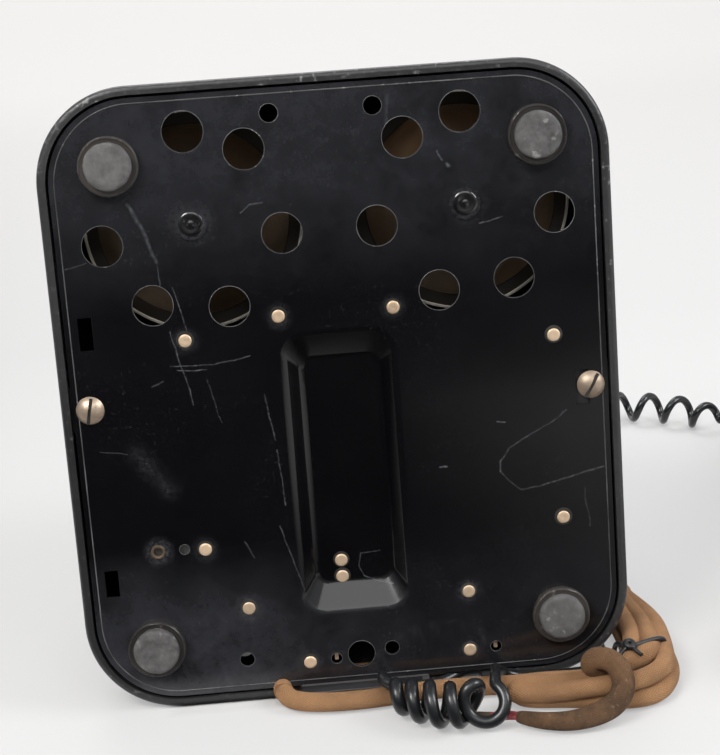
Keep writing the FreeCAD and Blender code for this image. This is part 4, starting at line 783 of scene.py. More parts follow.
def route_line(points: Sequence[Vector], steps: int = 10) -> list[Vector]:
    """Points read from the route's own NURBS spline.

    Args:
        points: the control points.
        steps: steps from one control point to the next.

    Returns:
        The points along the spline.
    """
    curve = route_curve("route_line", points, 0.0, steps)
    mesh = evaluated_mesh(curve)
    line = [vertex.co.copy() for vertex in mesh.vertices]
    bpy.data.meshes.remove(mesh)
    bpy.data.objects.remove(curve)
    return line


def line_length(line: Sequence[Vector]) -> float:
    """Length of a run of points."""
    return sum((b - a).length for a, b in zip(line, line[1:]))


def wrap(piece: Piece, reach: Sequence[float], sides: int) -> None:
    """Give a tube its UV map of metres along it and turns round it.

    Args:
        piece: the tube.
        reach: distance of each of its rings from the start.
        sides: faces round the tube.
    """
    layer = piece.data.uv_layers.new(name="UVMap")
    for polygon in piece.data.polygons:
        corners = [(loop, *divmod(piece.data.loops[loop].vertex_index, sides))
                   for loop in polygon.loop_indices]
        closes = any(step == sides - 1 for _, _, step in corners)
        for loop, ring, step in corners:
            layer.data[loop].uv = (reach[ring], 1.0 if closes and step == 0 else step / sides)


def tube(name: str, line: Sequence[Vector], radius: Callable[[float], float], material: Material,
         sides: int = 20) -> Piece:
    """Closed tube along a line, with a UV map.

    Args:
        name: the piece's name.
        line: points along the middle of the tube.
        radius: gives the radius at a distance from the start.
        material: the tube's material.
        sides: faces round the tube.

    Returns:
        The tube's mesh object.
    """
    side = Vector((0.0, 0.0, 1.0))
    verts: list[Vector] = []
    reach = [0.0]
    for a, b in zip(line, line[1:]):
        reach.append(reach[-1] + (b - a).length)
    for index, place in enumerate(line):
        heading = (line[min(index + 1, len(line) - 1)] - line[max(index - 1, 0)]).normalized()
        side = (side - heading * side.dot(heading)).normalized()
        across = heading.cross(side)
        for step in range(sides):
            angle = math.tau * step / sides
            verts.append(place + (side * math.cos(angle) + across * math.sin(angle)) * radius(reach[index]))
    last = (len(line) - 1) * sides
    faces = [[ring + step, ring + (step + 1) % sides, ring + sides + (step + 1) % sides, ring + sides + step]
             for ring in range(0, last, sides) for step in range(sides)]
    faces.append(list(range(sides))[::-1])
    faces.append([last + step for step in range(sides)])
    piece = mesh_object(name, verts, faces, material)
    wrap(piece, reach, sides)
    return piece


# ------------------------------------------------------------------ Geometry Nodes
class Layout:
    """Geometry Nodes tree with named inputs, which ends in real geometry with one finish."""

    def __init__(self, name: str, **inputs: str) -> None:
        """Make the tree's sockets.

        Args:
            name: the tree's name.
            inputs: socket kinds by label, with _ for a space.
        """
        self.nodes = bpy.data.node_groups.new(name, "GeometryNodeTree")
        for label, kind in (inputs | {"Finish": "Material"}).items():
            self.nodes.interface.new_socket(label.replace("_", " "), in_out="INPUT",
                                            socket_type=f"NodeSocket{kind}")
        self.nodes.interface.new_socket("Geometry", in_out="OUTPUT", socket_type="NodeSocketGeometry")
        self.tree = Tree(self.nodes)
        self.start = self.tree.add("NodeGroupInput").outputs

    def end(self, geometry: Socket) -> None:
        """Make the geometry real and give it the finish.

        Args:
            geometry: the geometry's socket.
        """
        real = self.tree.add("GeometryNodeRealizeInstances", {0: geometry}).outputs[0]
        dressed = self.tree.add("GeometryNodeSetMaterial",
                                {"Geometry": real, "Material": self.start["Finish"]})
        self.tree.add("NodeGroupOutput", {"Geometry": dressed.outputs[0]})

    def make(self, name: str, places: Sequence[Vector], turn: Matrix, finish: Material,
             **values: object) -> Piece:
        """Run the tree and keep its result as a plain mesh.

        Args:
            name: the result's name.
            places: points that go in as the tree's first geometry.
            turn: turns and moves the result.
            finish: the result's material.
            values: values of the other inputs by label, with _ for a space.

        Returns:
            The mesh object.
        """
        holder = mesh_object(f"{name}_places", places, [], finish)
        modifier = holder.modifiers.new("layout", "NODES")
        modifier.node_group = self.nodes
        given = {label.replace("_", " "): value for label, value in values.items()} | {"Finish": finish}
        for item in self.nodes.interface.items_tree:
            if item.in_out == "INPUT" and item.name in given:
                modifier[item.identifier] = given[item.name]
        mesh = evaluated_mesh(holder)
        holder.modifiers.remove(modifier)
        bpy.data.objects.remove(holder)
        mesh.name = name
        mesh.transform(turn)
        return linked(name, mesh)


class Repeat(Layout):
    """Sets copies of one small piece on given places of the upright telephone."""

    def __init__(self) -> None:
        """Build the tree."""
        super().__init__("set_on_places", Places="Geometry", Piece="Object", Size_Change="Float",
                         Spin="Float", Seed="Int")
        tree = self.tree
        start = self.start
        piece = tree.add("GeometryNodeObjectInfo", {"Object": start["Piece"]}).outputs["Geometry"]
        smallest = tree.math("SUBTRACT", 1.0, start["Size Change"])
        size = tree.add("FunctionNodeRandomValue", {2: smallest, 3: 1.0, 8: start["Seed"]}, data_type="FLOAT")
        spin = tree.add("FunctionNodeRandomValue", {2: 0.0, 3: start["Spin"], 8: start["Seed"]},
                        data_type="FLOAT")
        turn = tree.add("ShaderNodeCombineXYZ", {"Z": spin.outputs[1]})
        copies = tree.add("GeometryNodeInstanceOnPoints",
                          {"Points": start["Places"], "Instance": piece, "Rotation": turn.outputs[0],
                           "Scale": size.outputs[1]})
        self.end(copies.outputs[0])


@dataclass(frozen=True)
class Turned:
    """A turned small part that is set on several places of the plate.

    The profile is in millimetres, along the way out of the plate. A ring's profile is a loop that doesn't
    reach the axis. size_change is how much smaller a copy may be, and spin its largest turn in radians.
    """

    name: str
    profile: Profile
    finish: str
    slot: str
    node: str | None = None
    sides: int = 28
    ring: bool = False
    size_change: float = 0.0
    spin: float = 0.0
    seed: int = 1

    def build(self, repeat: Repeat, made: Materials, places: Sequence[Vector],
              wobble: Wobble | None = None) -> None:
        """Turn one part and set its copies.

        Args:
            repeat: sets the copies.
            made: the materials.
            places: upright places.
            wobble: change of the radius by angle and by profile index.
        """
        shape = Shape()
        shape.lathe(millimetres(self.profile), Vector(), OUTWARD, self.sides, wobble, self.ring)
        one = shape.to_object(f"{self.name}_one", made[self.finish])
        copies = repeat.make(self.name, places, TO_ROW, made[self.finish], Piece=one,
                             Size_Change=self.size_change, Spin=self.spin, Seed=self.seed)
        bpy.data.objects.remove(one)
        finished(copies, self.slot, *([self.node] if self.node else []))


# ------------------------------------------------------------------ camera, lights and floor
@dataclass(frozen=True)
class Lamp:
    """One soft lamp that shines on the telephone."""

    place: Point
    size: Pair
    power: float
    colour: Colour


@dataclass
class Studio:
    """Camera, lamps, floor and backdrop."""

    camera_place: Point = (-0.01068, -0.48234, 0.25417)
    camera_ahead: Point = (0.0350, 0.9458, -0.3228)
    camera_right: Point = (0.9962, -0.0589, -0.0647)
    lens: float = 73.43
    aim: Point = (0.0, 0.0, 0.09)
    floor_half: float = 1.6
    floor_side: float = 2.56
    floor_flat: float = 0.3
    floor_level: float = -0.0002
    backdrop_y: float = 1.1
    backdrop_bend: float = 0.5
    backdrop_top: float = 1.8
    footprint_side: float = 0.058
    footprint_front: float = -0.0530
    footprint_rear: float = 0.072
    lamps: tuple[Lamp, ...] = (
        Lamp((-0.62, -0.62, 1.05), (0.50, 0.50), 11.0, (1.0, 0.985, 0.965)),
        Lamp((0.95, -0.25, 0.75), (0.45, 0.60), 7.0, (0.97, 0.98, 1.0)),
        Lamp((0.05, -1.15, 1.55), (1.70, 1.20), 11.0, (1.0, 0.99, 0.98)),
        Lamp((-0.10, 0.75, 1.30), (0.90, 0.70), 9.0, (1.0, 1.0, 1.0)),
    )

    def make_camera(self) -> None:
        """Place the camera."""
        data = bpy.data.cameras.new("camera")
        data.sensor_width = 36.0
        data.lens = self.lens
        data.clip_start = 0.01
        camera = linked("camera", data)
        ahead = Vector(self.camera_ahead).normalized()
        right = Vector(self.camera_right)
        right = (right - ahead * right.dot(ahead)).normalized()
        turn = Matrix((right, right.cross(ahead), -ahead)).transposed()
        camera.matrix_world = Matrix.Translation(Vector(self.camera_place)) @ turn.to_4x4()
        bpy.context.scene.camera = camera

    def make_lamps(self) -> None:
        """Hang the soft lamps, each turned to the telephone."""
        for index, lamp in enumerate(self.lamps):
            data = bpy.data.lights.new(f"lamp_{index}", "AREA")
            data.shape = "RECTANGLE"
            data.size, data.size_y = lamp.size
            data.energy = lamp.power
            data.color = lamp.colour
            place = Vector(lamp.place)
            turn = (Vector(self.aim) - place).to_track_quat("-Z", "Y").to_matrix().to_4x4()
            linked(f"lamp_{index}", data).matrix_world = Matrix.Translation(place) @ turn

    def make_world(self) -> None:
        """Set the room's light: pale where the camera looks, dark in front of the telephone."""
        world = bpy.data.worlds.new("room")
        bpy.context.scene.world = world
        world.use_nodes = True
        world.node_tree.nodes.clear()
        tree = Tree(world.node_tree)
        path = tree.add("ShaderNodeLightPath").outputs
        x, _, z = tree.axes(tree.add("ShaderNodeTexCoord").outputs["Generated"])
        above = tree.times(tree.ramp(z, 0.05, 0.55), 0.40)
        right = tree.times(tree.ramp(x, 0.2, 0.9), 0.30)
        light = tree.plus(tree.plus(above, right), 0.030)
        room = tree.add("ShaderNodeBackground", {"Color": (0.96, 0.98, 1.0, 1.0), "Strength": light})
        pale = tree.add("ShaderNodeBackground", {"Color": (0.855, 0.85, 0.85, 1.0), "Strength": 1.0})
        mixed = tree.add("ShaderNodeMixShader", {0: path["Is Camera Ray"], 1: room.outputs[0],
                                                 2: pale.outputs[0]})
        tree.add("ShaderNodeOutputWorld", {"Surface": mixed.outputs[0]})

    def floor_material(self) -> Material:
        """Pale floor that keeps the shadow, with painted shade towards the left and painted light towards the
        backdrop, and a painted reflection, darker towards the left and front, for what gloss sees of it.

        Returns:
            The floor's material.
        """
        material = bpy.data.materials.new("floor_pale")
        material.use_nodes = True
        material.node_tree.nodes.clear()
        tree = Tree(material.node_tree)
        path = tree.add("ShaderNodeLightPath").outputs
        x, y, _ = tree.axes(tree.add("ShaderNodeTexCoord").outputs["Object"])
        matt = tree.add("ShaderNodeBsdfDiffuse", {"Color": (0.62, 0.615, 0.61, 1.0)})
        # Painted shade and light: for camera rays the floor's emission is darker towards the left and
        # brighter towards the backdrop.
        painted_left_shade = tree.mix(tree.ramp(x, -0.32, -0.06), (0.52, 0.52, 0.525), (0.85, 0.85, 0.85))
        painted_floor_falloff = tree.mix(tree.ramp(y, 0.35, 1.25), painted_left_shade, (1.31, 1.27, 1.26))
        pale = tree.add("ShaderNodeEmission", {"Color": painted_floor_falloff, "Strength": 1.0})
        side = tree.ramp(tree.math("ABSOLUTE", x), self.footprint_side, self.footprint_side + 0.006)
        front = tree.ramp(y, self.footprint_front + 0.002, self.footprint_front - 0.001)
        behind = tree.ramp(y, self.footprint_rear - 0.004, self.footprint_rear)
        clear = tree.math("MAXIMUM", side, tree.math("MAXIMUM", front, behind), clamp=True)
        share = tree.times(path["Is Camera Ray"], tree.times(clear, 0.42))
        seen = tree.add("ShaderNodeMixShader", {0: share, 1: matt.outputs[0], 2: pale.outputs[0]})
        # Painted reflection: glossy rays see an emission, brighter towards the right and just in front of the
        # rim, in place of the lit floor.
        right = tree.ramp(x, 0.06, 0.34)
        near = tree.times(tree.ramp(y, -0.088, -0.074), clear)
        painted_reflection_strength = tree.plus(tree.times(tree.math("MAXIMUM", right, near), 0.68), 0.02)
        painted_floor_reflection = tree.add("ShaderNodeEmission", {"Color": (1.0, 0.99, 0.98, 1.0), "Strength": painted_reflection_strength})
        both = tree.add("ShaderNodeMixShader", {0: path["Is Glossy Ray"], 1: seen.outputs[0],
                                                2: painted_floor_reflection.outputs[0]})
        tree.add("ShaderNodeOutputMaterial", {"Surface": both.outputs[0]})
        return material

    def make_floor(self) -> None:
        """Lay the pale floor, which bends up into the backdrop."""
        level = self.floor_level
        bend = self.backdrop_bend
        profile = [(-self.floor_half, level), (self.floor_flat, level)]
        profile += [(self.backdrop_y + bend * math.sin(angle), level + bend * (1.0 - math.cos(angle)))
                    for angle in (math.radians(7.5) * step for step in range(13))]
        profile.append((self.backdrop_y + bend, self.backdrop_top))
        verts = [Vector((x, y, z)) for y, z in profile for x in (-self.floor_side, self.floor_side)]
        faces = [[2 * row, 2 * row + 1, 2 * row + 3, 2 * row + 2] for row in range(len(profile) - 1)]
        mesh_object("floor", verts, faces, self.floor_material())

    def build(self) -> None:
        """Make the whole studio."""
        bpy.context.scene.view_settings.view_transform = "Standard"
        self.make_camera()
        self.make_lamps()
        self.make_world()
        self.make_floor()
        LOG.info("studio ready")


# ------------------------------------------------------------------ brown line cord
@dataclass
class LineCord:
    """Cloth-covered line cord: lead, tied hank and thick end.

    The hank's lanes follow each other in the order of route(), and a bend joins each to the next.
    """

    radius: float = 0.0030
    end_radius: float = 0.0035
    length: float = 0.75
    exit: Point = (-0.0255, -0.0009, 0.0032)
    lead: Route = (
        (-.0255, -.0009, .0032), (-.0246, -.0047, .0032), (-.0212, -.0076, .0032), (-.0150, -.0094, .0032),
        (-.0050, -.0102, .0032), (.0060, -.0096, .0032), (.0195, -.0076, .0032), (.0310, -.0078, .0032),
        (.0400, -.0084, .0032), (.0475, -.0090, .0032))
    inner: Route = (
        (.0580, -.0092, .0032), (.0700, -.0096, .0032), (.0795, -.0080, .0032), (.0855, -.0020, .0032),
        (.0870, .0080, .0032), (.0866, .0220, .0032), (.0864, .0340, .0032))
    inner_top: Route = (
        (.0570, -.0165, .0068), (.0690, -.0176, .0074), (.0790, -.0146, .0084), (.0852, -.0060, .0090),
        (.0880, .0070, .0082), (.0880, .0220, .0074), (.0876, .0340, .0072))
    middle: Route = (
        (.0500, -.0142, .0033), (.0600, -.0148, .0033), (.0720, -.0162, .0033), (.0820, -.0164, .0033),
        (.0905, -.0090, .0034), (.0932, .0040, .0034), (.0926, .0180, .0034), (.0902, .0310, .0034))
    middle_top: Route = (
        (.0908, .0310, .0074), (.0930, .0180, .0078), (.0932, .0050, .0088), (.0914, -.0060, .0100),
        (.0868, -.0118, .0108))
    outer: Route = (
        (.0520, -.0186, .0032), (.0610, -.0202, .0032), (.0720, -.0222, .0032), (.0830, -.0236, .0032),
        (.0908, -.0212, .0032), (.0962, -.0115, .0032), (.0978, .0010, .0032), (.0974, .0150, .0032),
        (.0950, .0280, .0032), (.0920, .0370, .0032))
    outer_top: Route = (
        (.0920, .0370, .0070), (.0950, .0280, .0072), (.0970, .0150, .0076), (.0968, .0020, .0086),
        (.0950, -.0110, .0090), (.0905, -.0190, .0090), (.0825, -.0222, .0086), (.0720, -.0232, .0080),
        (.0610, -.0214, .0066), (.0520, -.0190, .0052))
    end: Route = (
        (.0710, -.0178, .0152), (.0748, -.0196, .0157), (.0778, -.0232, .0138), (.0780, -.0274, .0100),
        (.0750, -.0306, .0066), (.0690, -.0328, .0046), (.0610, -.0336, .0036), (.0540, -.0318, .0031),
        (.0490, -.0296, .0030), (.0450, -.0277, .0032))
    bends: tuple[Route, ...] = (
        ((.0876, .0405, .0032), (.0904, .0428, .0034), (.0922, .0405, .0033)),
        ((.0478, -.0172, .0036), (.0466, -.0150, .0048), (.0490, -.0146, .0060)),
        ((.0880, .0400, .0072), (.0902, .0420, .0072), (.0922, .0400, .0072)),
        ((.0474, -.0178, .0050), (.0462, -.0160, .0042), (.0474, -.0144, .0036)),
        ((.0892, .0380, .0038), (.0902, .0410, .0056), (.0908, .0375, .0072)),
        ((.0815, -.0140, .0106), (.0755, -.0150, .0098), (.0712, -.0160, .0102), (.0698, -.0168, .0128)))
    unevenness: float = 0.0004
    floor_gap: float = 0.0001
    wrapped: float = 0.095
    swell_over: float = 0.03
    tip: float = 0.03
    tip_share: float = 0.45

    def strand(self, lane: Route, seed: int) -> list[Point]:
        """One strand of the hank, a little uneven.

        Args:
            lane: its points before they are made uneven.
            seed: seed of the unevenness.

        Returns:
            The uneven points.
        """
        rng = random.Random(seed)
        off = self.unevenness
        return [(x + rng.uniform(-off, off), y + rng.uniform(-off, off),
                 max(z + rng.uniform(-off, 1.5 * off), self.radius + self.floor_gap)) for x, y, z in lane]

    def route(self) -> list[Point]:
        """All control points from the notch to the cord's end.

        Returns:
            The points.
        """
        lanes = (self.inner, self.outer, self.inner_top, self.outer_top, self.middle, self.middle_top)
        points = list(self.lead)
        for seed, (lane, bend) in enumerate(zip(lanes, self.bends), 1):
            strand = self.strand(lane, seed)
            points += strand[::-1] if lane is self.outer else strand
            points += bend
        return points + list(self.end)

    def build(self, cloth: Material) -> None:
        """Args:
            cloth: the cord's material.
        """
        line = route_line(on_floor(self.route()), 8)
        total = line_length(line)

        def radius(at: float) -> float:
            """Radius: the cord swells where its end is wrapped, and narrows to its conductors.

            Args:
                at: distance from the cord's start.

            Returns:
                The cord's radius there.
            """
            swell = (self.end_radius - self.radius) * eased((at - total + self.wrapped) / self.swell_over)
            last = math.sqrt(clamped((total - at) / self.tip))
            return (self.radius + swell) * (self.tip_share + (1.0 - self.tip_share) * last)

        cord = tube("line_cord_braid", line, radius, cloth)
        finished(cord, "brown_cloth", "line_cord_lead", "line_cord_hank", "line_cord_end")
        LOG.info("line cord measures %.3f m", total)


# ------------------------------------------------------------------ black curly cord
@dataclass
class CurlyCord:
    """Curly handset cord: lead, tight turns, one open turn, straight run, stretched helix and tail."""

    wire: float = 0.00165
    coil: float = 0.0070
    length: float = 0.97
    exit: Point = (0.0375, 0.0066, 0.0046)
    lead: Route = (
        (.0375, .0066, .0046), (.0346, .0063, .0032), (.0310, .0042, .00172), (.0254, -.0005, .0017),
        (.0195, -.00195, .00172), (.0135, -.00185, .00175), (.0092, -.0020, .0026), (.0067, -.0029, .0057),
        (.0057, -.0056, .0090), (.0055, -.0098, .0091))
    coil_centres: Route = (
        (.0088, -.0150, .0068), (.0124, -.0172, .0068), (.0162, -.0206, .0072), (.0208, -.0238, .0076),
        (.0256, -.0256, .0078), (.0300, -.0262, .0080))
    coil_radii: tuple[float, ...] = (.0050, .0056, .0066, .0071, .0071, .0070)
    coil_axis: Point = (0.965, -0.25, 0.06)
    thick: Pair = (1.38, 1.2)
    open_centre: Point = (0.0356, -0.0263, 0.0083)
    open_axis: Point = (-0.10, -0.85, 0.51)
    open_radius: float = 0.0061
    tight_turns: float = 4.0
    run: Route = (
        (.0399, -.0180, .0123), (.0406, -.0124, .0106), (.0412, -.0076, .0091),
        (.0429, -.0039, .0062), (.0466, -.00245, .0028), (.0530, -.0023, .00175), (.0620, -.0025, .00175),
        (.0705, -.0022, .00175), (.0762, .0009, .00175), (.0786, .0080, .00175), (.0789, .0190, .00175),
        (.0779, .0320, .00175), (.0786, .0450, .00175), (.0815, .0560, .0024), (.0838, .0630, .0034))
    stretch: Route = (
        (.0848, .0710, .0071), (.0836, .0930, .0071), (.0806, .1160, .0071), (.0774, .1390, .0071),
        (.0754, .1610, .0071), (.0760, .1815, .0071), (.0815, .2005, .0071), (.0940, .2148, .0071),
        (.1110, .2219, .0071), (.1290, .2210, .0071), (.1465, .2142, .0071), (.1598, .2054, .0071),
        (.1708, .1964, .0071))
    stretch_turns: int = 17
    tail: Route = (
        (.1760, .1956, .0096), (.1796, .1946, .0146), (.1814, .1933, .0196), (.18246, .19148, .0220),
        (.18443, .18803, .0220))
    steps: int = 16
    floor_gap: float = 0.0001
    first_angle: float = math.radians(25.0)
    leave: Point = (.0392, -.0234, .0126)
    leave_pull: float = 0.0025
    stretch_angle: float = math.radians(-100.0)
    eased_steps: int = 10
    end_share: float = 0.35

    def tight(self) -> list[Vector]:
        """Points of the tight turns and of the open turn that faces the base plate.

        Returns:
            The points.
        """
        centre = on_floor([self.open_centre])[0]
        middles = on_floor(self.coil_centres)
        along = Vector(self.coil_axis).normalized()
        facing = Vector(self.open_axis).normalized()
        swing = along.rotation_difference(facing)
        above = Vector((0.0, 0.0, 1.0))
        above = (above - along * above.dot(along)).normalized()
        back = above.cross(along)
        leave = on_floor([self.leave])[0] - centre
        last_angle = math.atan2(leave.dot(swing @ above), leave.dot(swing @ back))
        turns = self.tight_turns + 1.0 + ((last_angle - self.first_angle) / math.tau) % 1.0
        count = int(turns * self.steps)
        points = []
        for index in range(count + 1):
            turn = turns * index / count
            share = eased((turn - self.tight_turns + 0.35) / 0.85)
            lean = Quaternion().slerp(swing, share)
            at = min(turn / self.tight_turns, 0.999) * (len(middles) - 1)
            step = int(at)
            middle = middles[step].lerp(middles[step + 1], at - step).lerp(centre, share)
            coil = self.coil_radii[step] + (self.coil_radii[step + 1] - self.coil_radii[step]) * (at - step)
            reach = (coil - self.wire) * (1 - share) + self.open_radius * share
            leaving = clamped((turn - turns + 0.25) / 0.25)
            middle = middle - facing * (self.leave_pull * leaving * leaving)
            angle = self.first_angle + math.tau * turn
            place = middle + lean @ (back * math.cos(angle) + above * math.sin(angle)) * reach
            place.z = max(place.z, self.wire * self.thick[0] + self.floor_gap)
            points.append(place)
        return points

    def loose(self) -> list[Vector]:
        """Points of the stretched helix, wound round the stretch's own smooth line.

        Returns:
            The points.
        """
        line = route_line(on_floor(self.stretch), 12)
        total = line_length(line)
        count = self.stretch_turns * self.steps
        points = []
        index = 0
        walked = 0.0
        for step in range(count + 1):
            goal = total * step / count
            while index < len(line) - 2 and walked + (line[index + 1] - line[index]).length < goal:
                walked += (line[index + 1] - line[index]).length
                index += 1
            heading = line[index + 1] - line[index]
            place = line[index] + heading * min((goal - walked) / heading.length, 1.0)
            heading.normalize()
            side = Vector((heading.y, -heading.x, 0.0)).normalized()
            above = side.cross(heading)
            angle = self.stretch_angle + math.tau * self.stretch_turns * step / count
            ease = min(step / self.eased_steps, (count - step) / self.eased_steps, 1.0)
            reach = (self.coil - self.wire) * (self.end_share + (1.0 - self.end_share) * ease)
            place = place + (side * math.cos(angle) + above * math.sin(angle)) * reach
            place.z = max(place.z, self.wire + self.floor_gap)
            points.append(place)
        return points

    def build(self, rubber: Material) -> None:
        """Args:
            rubber: the cord's material.
        """
        tight = self.tight()
        points = on_floor(self.lead) + tight + on_floor(self.run) + self.loose() + on_floor(self.tail)
        cord = route_curve("curly_cord", points, self.wire, 4)
        start = len(self.lead)
        for index, point in enumerate(cord.data.splines[0].points[start:start + len(tight)]):
            share = min(index / (self.tight_turns * self.steps), 1.0)
            point.radius = self.thick[0] + (self.thick[1] - self.thick[0]) * share
        cord.data.materials.append(rubber)
        finished(cord, "black_cord",
                 "curly_lead", "curly_coil", "curly_run", "curly_stretch", "curly_tail")
        LOG.info("curly cord measures %.3f m", line_length(route_line(points, 4)))


# ------------------------------------------------------------------ the fixed pieces
@dataclass
class Feet:
    """Four rubber feet, each pressed into a metal cup on the base plate."""

    places: tuple[Pair, ...] = ((-.0642, -.0744), (.0642, -.0744), (-.0642, .0769), (.0642, .0769))
    cup: Turned = Turned("foot_cups_rolled", (
        (0, 0), (8.75, 0), (8.98, 1.0), (9.05, 2.5), (8.98, 3.0), (8.75, 3.25), (8.45, 3.28), (8.2, 3.1),
        (7.9, 3.0), (7.35, 3.02), (6.9, 2.9), (6.8, 0.9), (0, 0.8)),
        "cup_black", "cup_black", "foot_cups", 72, spin=math.tau, seed=3)
    rubber: Turned = Turned("foot_rubbers_worn", (
        (0, 0.95), (6.75, 0.95), (7.15, 3.0), (7.2, 4.2), (7.1, 4.9), (6.8, 5.3), (6.2, 5.52), (5.2, 5.58),
        (3.2, 5.56), (0, 5.55)),
        "rubber_grey", "rubber_grey", "rubber_feet", 72, spin=math.tau, seed=3)
    lip: tuple[int, ...] = (4, 5, 6)
    dents: tuple[float, ...] = (0.35, 1.9, 2.75, 4.4, 5.6)
    dent_depth: float = 0.00024
    dent_half: float = 0.10

    def dented(self, angle: float, index: int) -> float:
        """Change of the cup's radius: it is out of round and its lip is nicked.

        Args:
            angle: where on the cup, in radians.
            index: which point of the profile.

        Returns:
            The change.
        """
        change = 0.00008 * math.sin(2 * angle + 0.7) + 0.00004 * math.sin(5 * angle)
        if index in self.lip:
            for dent in self.dents:
                near = abs((angle - dent + math.pi) % math.tau - math.pi)
                depth = self.dent_depth * max(0.0, 1.0 - near / self.dent_half)
                change += depth if index == self.lip[-1] else -depth
        return change

    def uneven(self, angle: float, index: int) -> float:
        """Change of the rubber's radius."""
        return 0.00006 * math.sin(3 * angle + index) + 0.00003 * math.sin(11 * angle)

    def build(self, repeat: Repeat, made: Materials) -> None:
        """Make the cups and the rubber.

        Args:
            repeat: sets the copies.
            made: the materials by name.
        """
        places = [Vector((x, y, PLATE_Z)) for x, y in self.places]
        self.cup.build(repeat, made, places, self.dented)
        self.rubber.build(repeat, made, places, self.uneven)


@dataclass
class Fasteners:
    """Small parts that show on the plate and in its holes, with places in upright millimetres."""

    rivet_places: Route = (
        (-46.5, -20.1, 0.8), (-17.6, -25.4, 0.8), (17.6, -25.4, 0.8), (66.5, -12.9, 0.8), (-46.3, 46.3, 0.8),
        (-34.4, 66.7, 0.8), (-16.5, 86.4, 0.8), (35.4, 67.3, 0.8), (66.8, 45.5, 0.8), (34.7, 86.8, 0.8),
        (-4.1, 55.0, 5.8), (-4.1, 60.4, 5.8))
    rivet: Turned = Turned("plate_rivet_ends", (
        (0, -2.1), (2.6, -2.1), (2.9, -1.8), (2.9, -1.25), (1.75, -1.2), (1.78, -0.05), (1.98, 0.02),
        (2.02, 0.16), (1.9, 0.36), (1.6, 0.48), (1.1, 0.52), (0.5, 0.46), (0, 0.43)),
        "brass_worn", "brass_worn", "plate_rivets", spin=math.tau, seed=5)
    # Painted shade: a dark ring round each rivet end, shifted towards the top, stands for the shade in the
    # rivet's hollow.
    rivet_shade_ring: Turned = Turned("rivet_rings", (
        (1.7, -0.05), (2.9, -0.05), (2.84, 0.05), (2.4, 0.1), (1.7, 0.08)),
        "shade_and_grime", "plate_enamel", ring=True, size_change=0.12, spin=math.tau, seed=6)
    shade_ring_shift: Point = (0.0, -0.22, 0.0)
    eyelet_place: Pair = (-61.1, 45.9)
    eyelet: Profile = (
        (1.35, -1.6), (2.3, -1.6), (2.3, 0.2), (2.15, 0.42), (1.8, 0.48), (1.45, 0.3), (1.35, 0.0))
    screws: Route = ((-77.4, -0.8, 102.0), (77.4, 3.6, 120.0))
    screw_turn: float = math.radians(60.0)
    slot_box: Point = (8.1, 0.94, 0.62)
    slot_level: float = 1.3
    post_places: tuple[Pair, ...] = ((-41.5, -55.4), (41.5, -55.4))
    bell_level: float = 14.0
    # Painted highlight: the gongs' rims are near white, standing in for the strongly lit edges seen through
    # the sound holes.
    bell_edge_painted_light: Turned = Turned("gong_rims", (
        (33.15, -0.15), (34.1, -0.15), (34.12, 0.0), (34.0, 0.1), (33.25, 0.1), (33.1, 0.0)),
        "bell_edge_painted_light", "bell_metal", sides=120, ring=True)
    bell_flare: Turned = Turned("gong_flares", (
        (29.6, -0.5), (33.2, -0.5), (33.3, -0.2), (33.2, 0.05), (29.8, 0.07), (29.5, -0.3)),
        "bell_dark", "bell_metal", sides=120, ring=True)
    hole_edge: Profile = (
        (-0.05, -0.2), (0.07, -0.1), (0.14, -0.02), (0.10, 0.02), (0.0, 0.035), (-0.05, 0.0))
    sound_hole: float = 6.2
    sound_ring: float = 27.5
    sound_angles: tuple[float, ...] = (-90, -50, 10, 70, 120, 170)
    small_holes: Route = (
        (-15.5, -86.5, 2.8), (15.5, -86.5, 2.8), (0.0, 85.0, 4.3), (-8.0, 85.9, 1.75), (43.1, 86.4, 1.75),
        (-36.3, 83.7, 2.3), (9.9, 83.9, 2.3), (-52.8, 45.8, 1.6))
    post: Turned = Turned("gong_post_ends", (
        (0, -0.1), (4.6, -0.1), (4.55, 0.42), (4.25, 0.56), (3.95, 0.5), (3.72, 0.72), (3.25, 0.98),
        (2.6, 1.0), (2.05, 0.82), (1.55, 0.74), (1.15, 0.76), (0.82, 0.92), (0.42, 1.04), (0, 1.06)),
        "gloss_black", "plate_enamel", sides=40)

    def edge_of(self, radius: float) -> Profile:
        """Profile of the worn edge round a hole, in millimetres."""
        return tuple((radius + reach, height) for reach, height in self.hole_edge)

    def build_eyelet(self, brass: Material) -> None:
        """Make the hollow eyelet.

        Args:
            brass: the brass's material.
        """
        x, y = self.eyelet_place
        shape = Shape()
        shape.lathe(millimetres(self.eyelet), upright(x / 1000, y / 1000, PLATE_Z), TO_ROW.to_3x3() @ OUTWARD,
                    32, None, True)
        finished(shape.to_object("plate_eyelet", brass), "brass_worn", "eyelet")

    def build_screws(self, worn: Material) -> None:
        """Make the two plate screws, the right one turned so that its slot stands as its dark fill does.

        Args:
            worn: the worn metal's material.
        """
        work = bmesh.new()
        work.from_mesh(frame["nodes"]["casing_screws"].data)
        bmesh.ops.remove_doubles(work, verts=work.verts, dist=1e-6)
        x, y, _ = self.screws[1]
        centre = TO_ROW @ Matrix.Translation(Vector((x / 1000, y / 1000, 0.0)))
        turn = centre @ Matrix.Rotation(self.screw_turn, 4, "Z") @ centre.inverted()
        heads = Shape()
        heads.verts = [turn @ vertex.co if vertex.co.x > 0 else vertex.co.copy() for vertex in work.verts]
        heads.faces = [[vertex.index for vertex in face.verts] for face in work.faces]
        work.free()
        finished(heads.to_object("casing_screws_worn", worn), "nickel", "casing_screws")

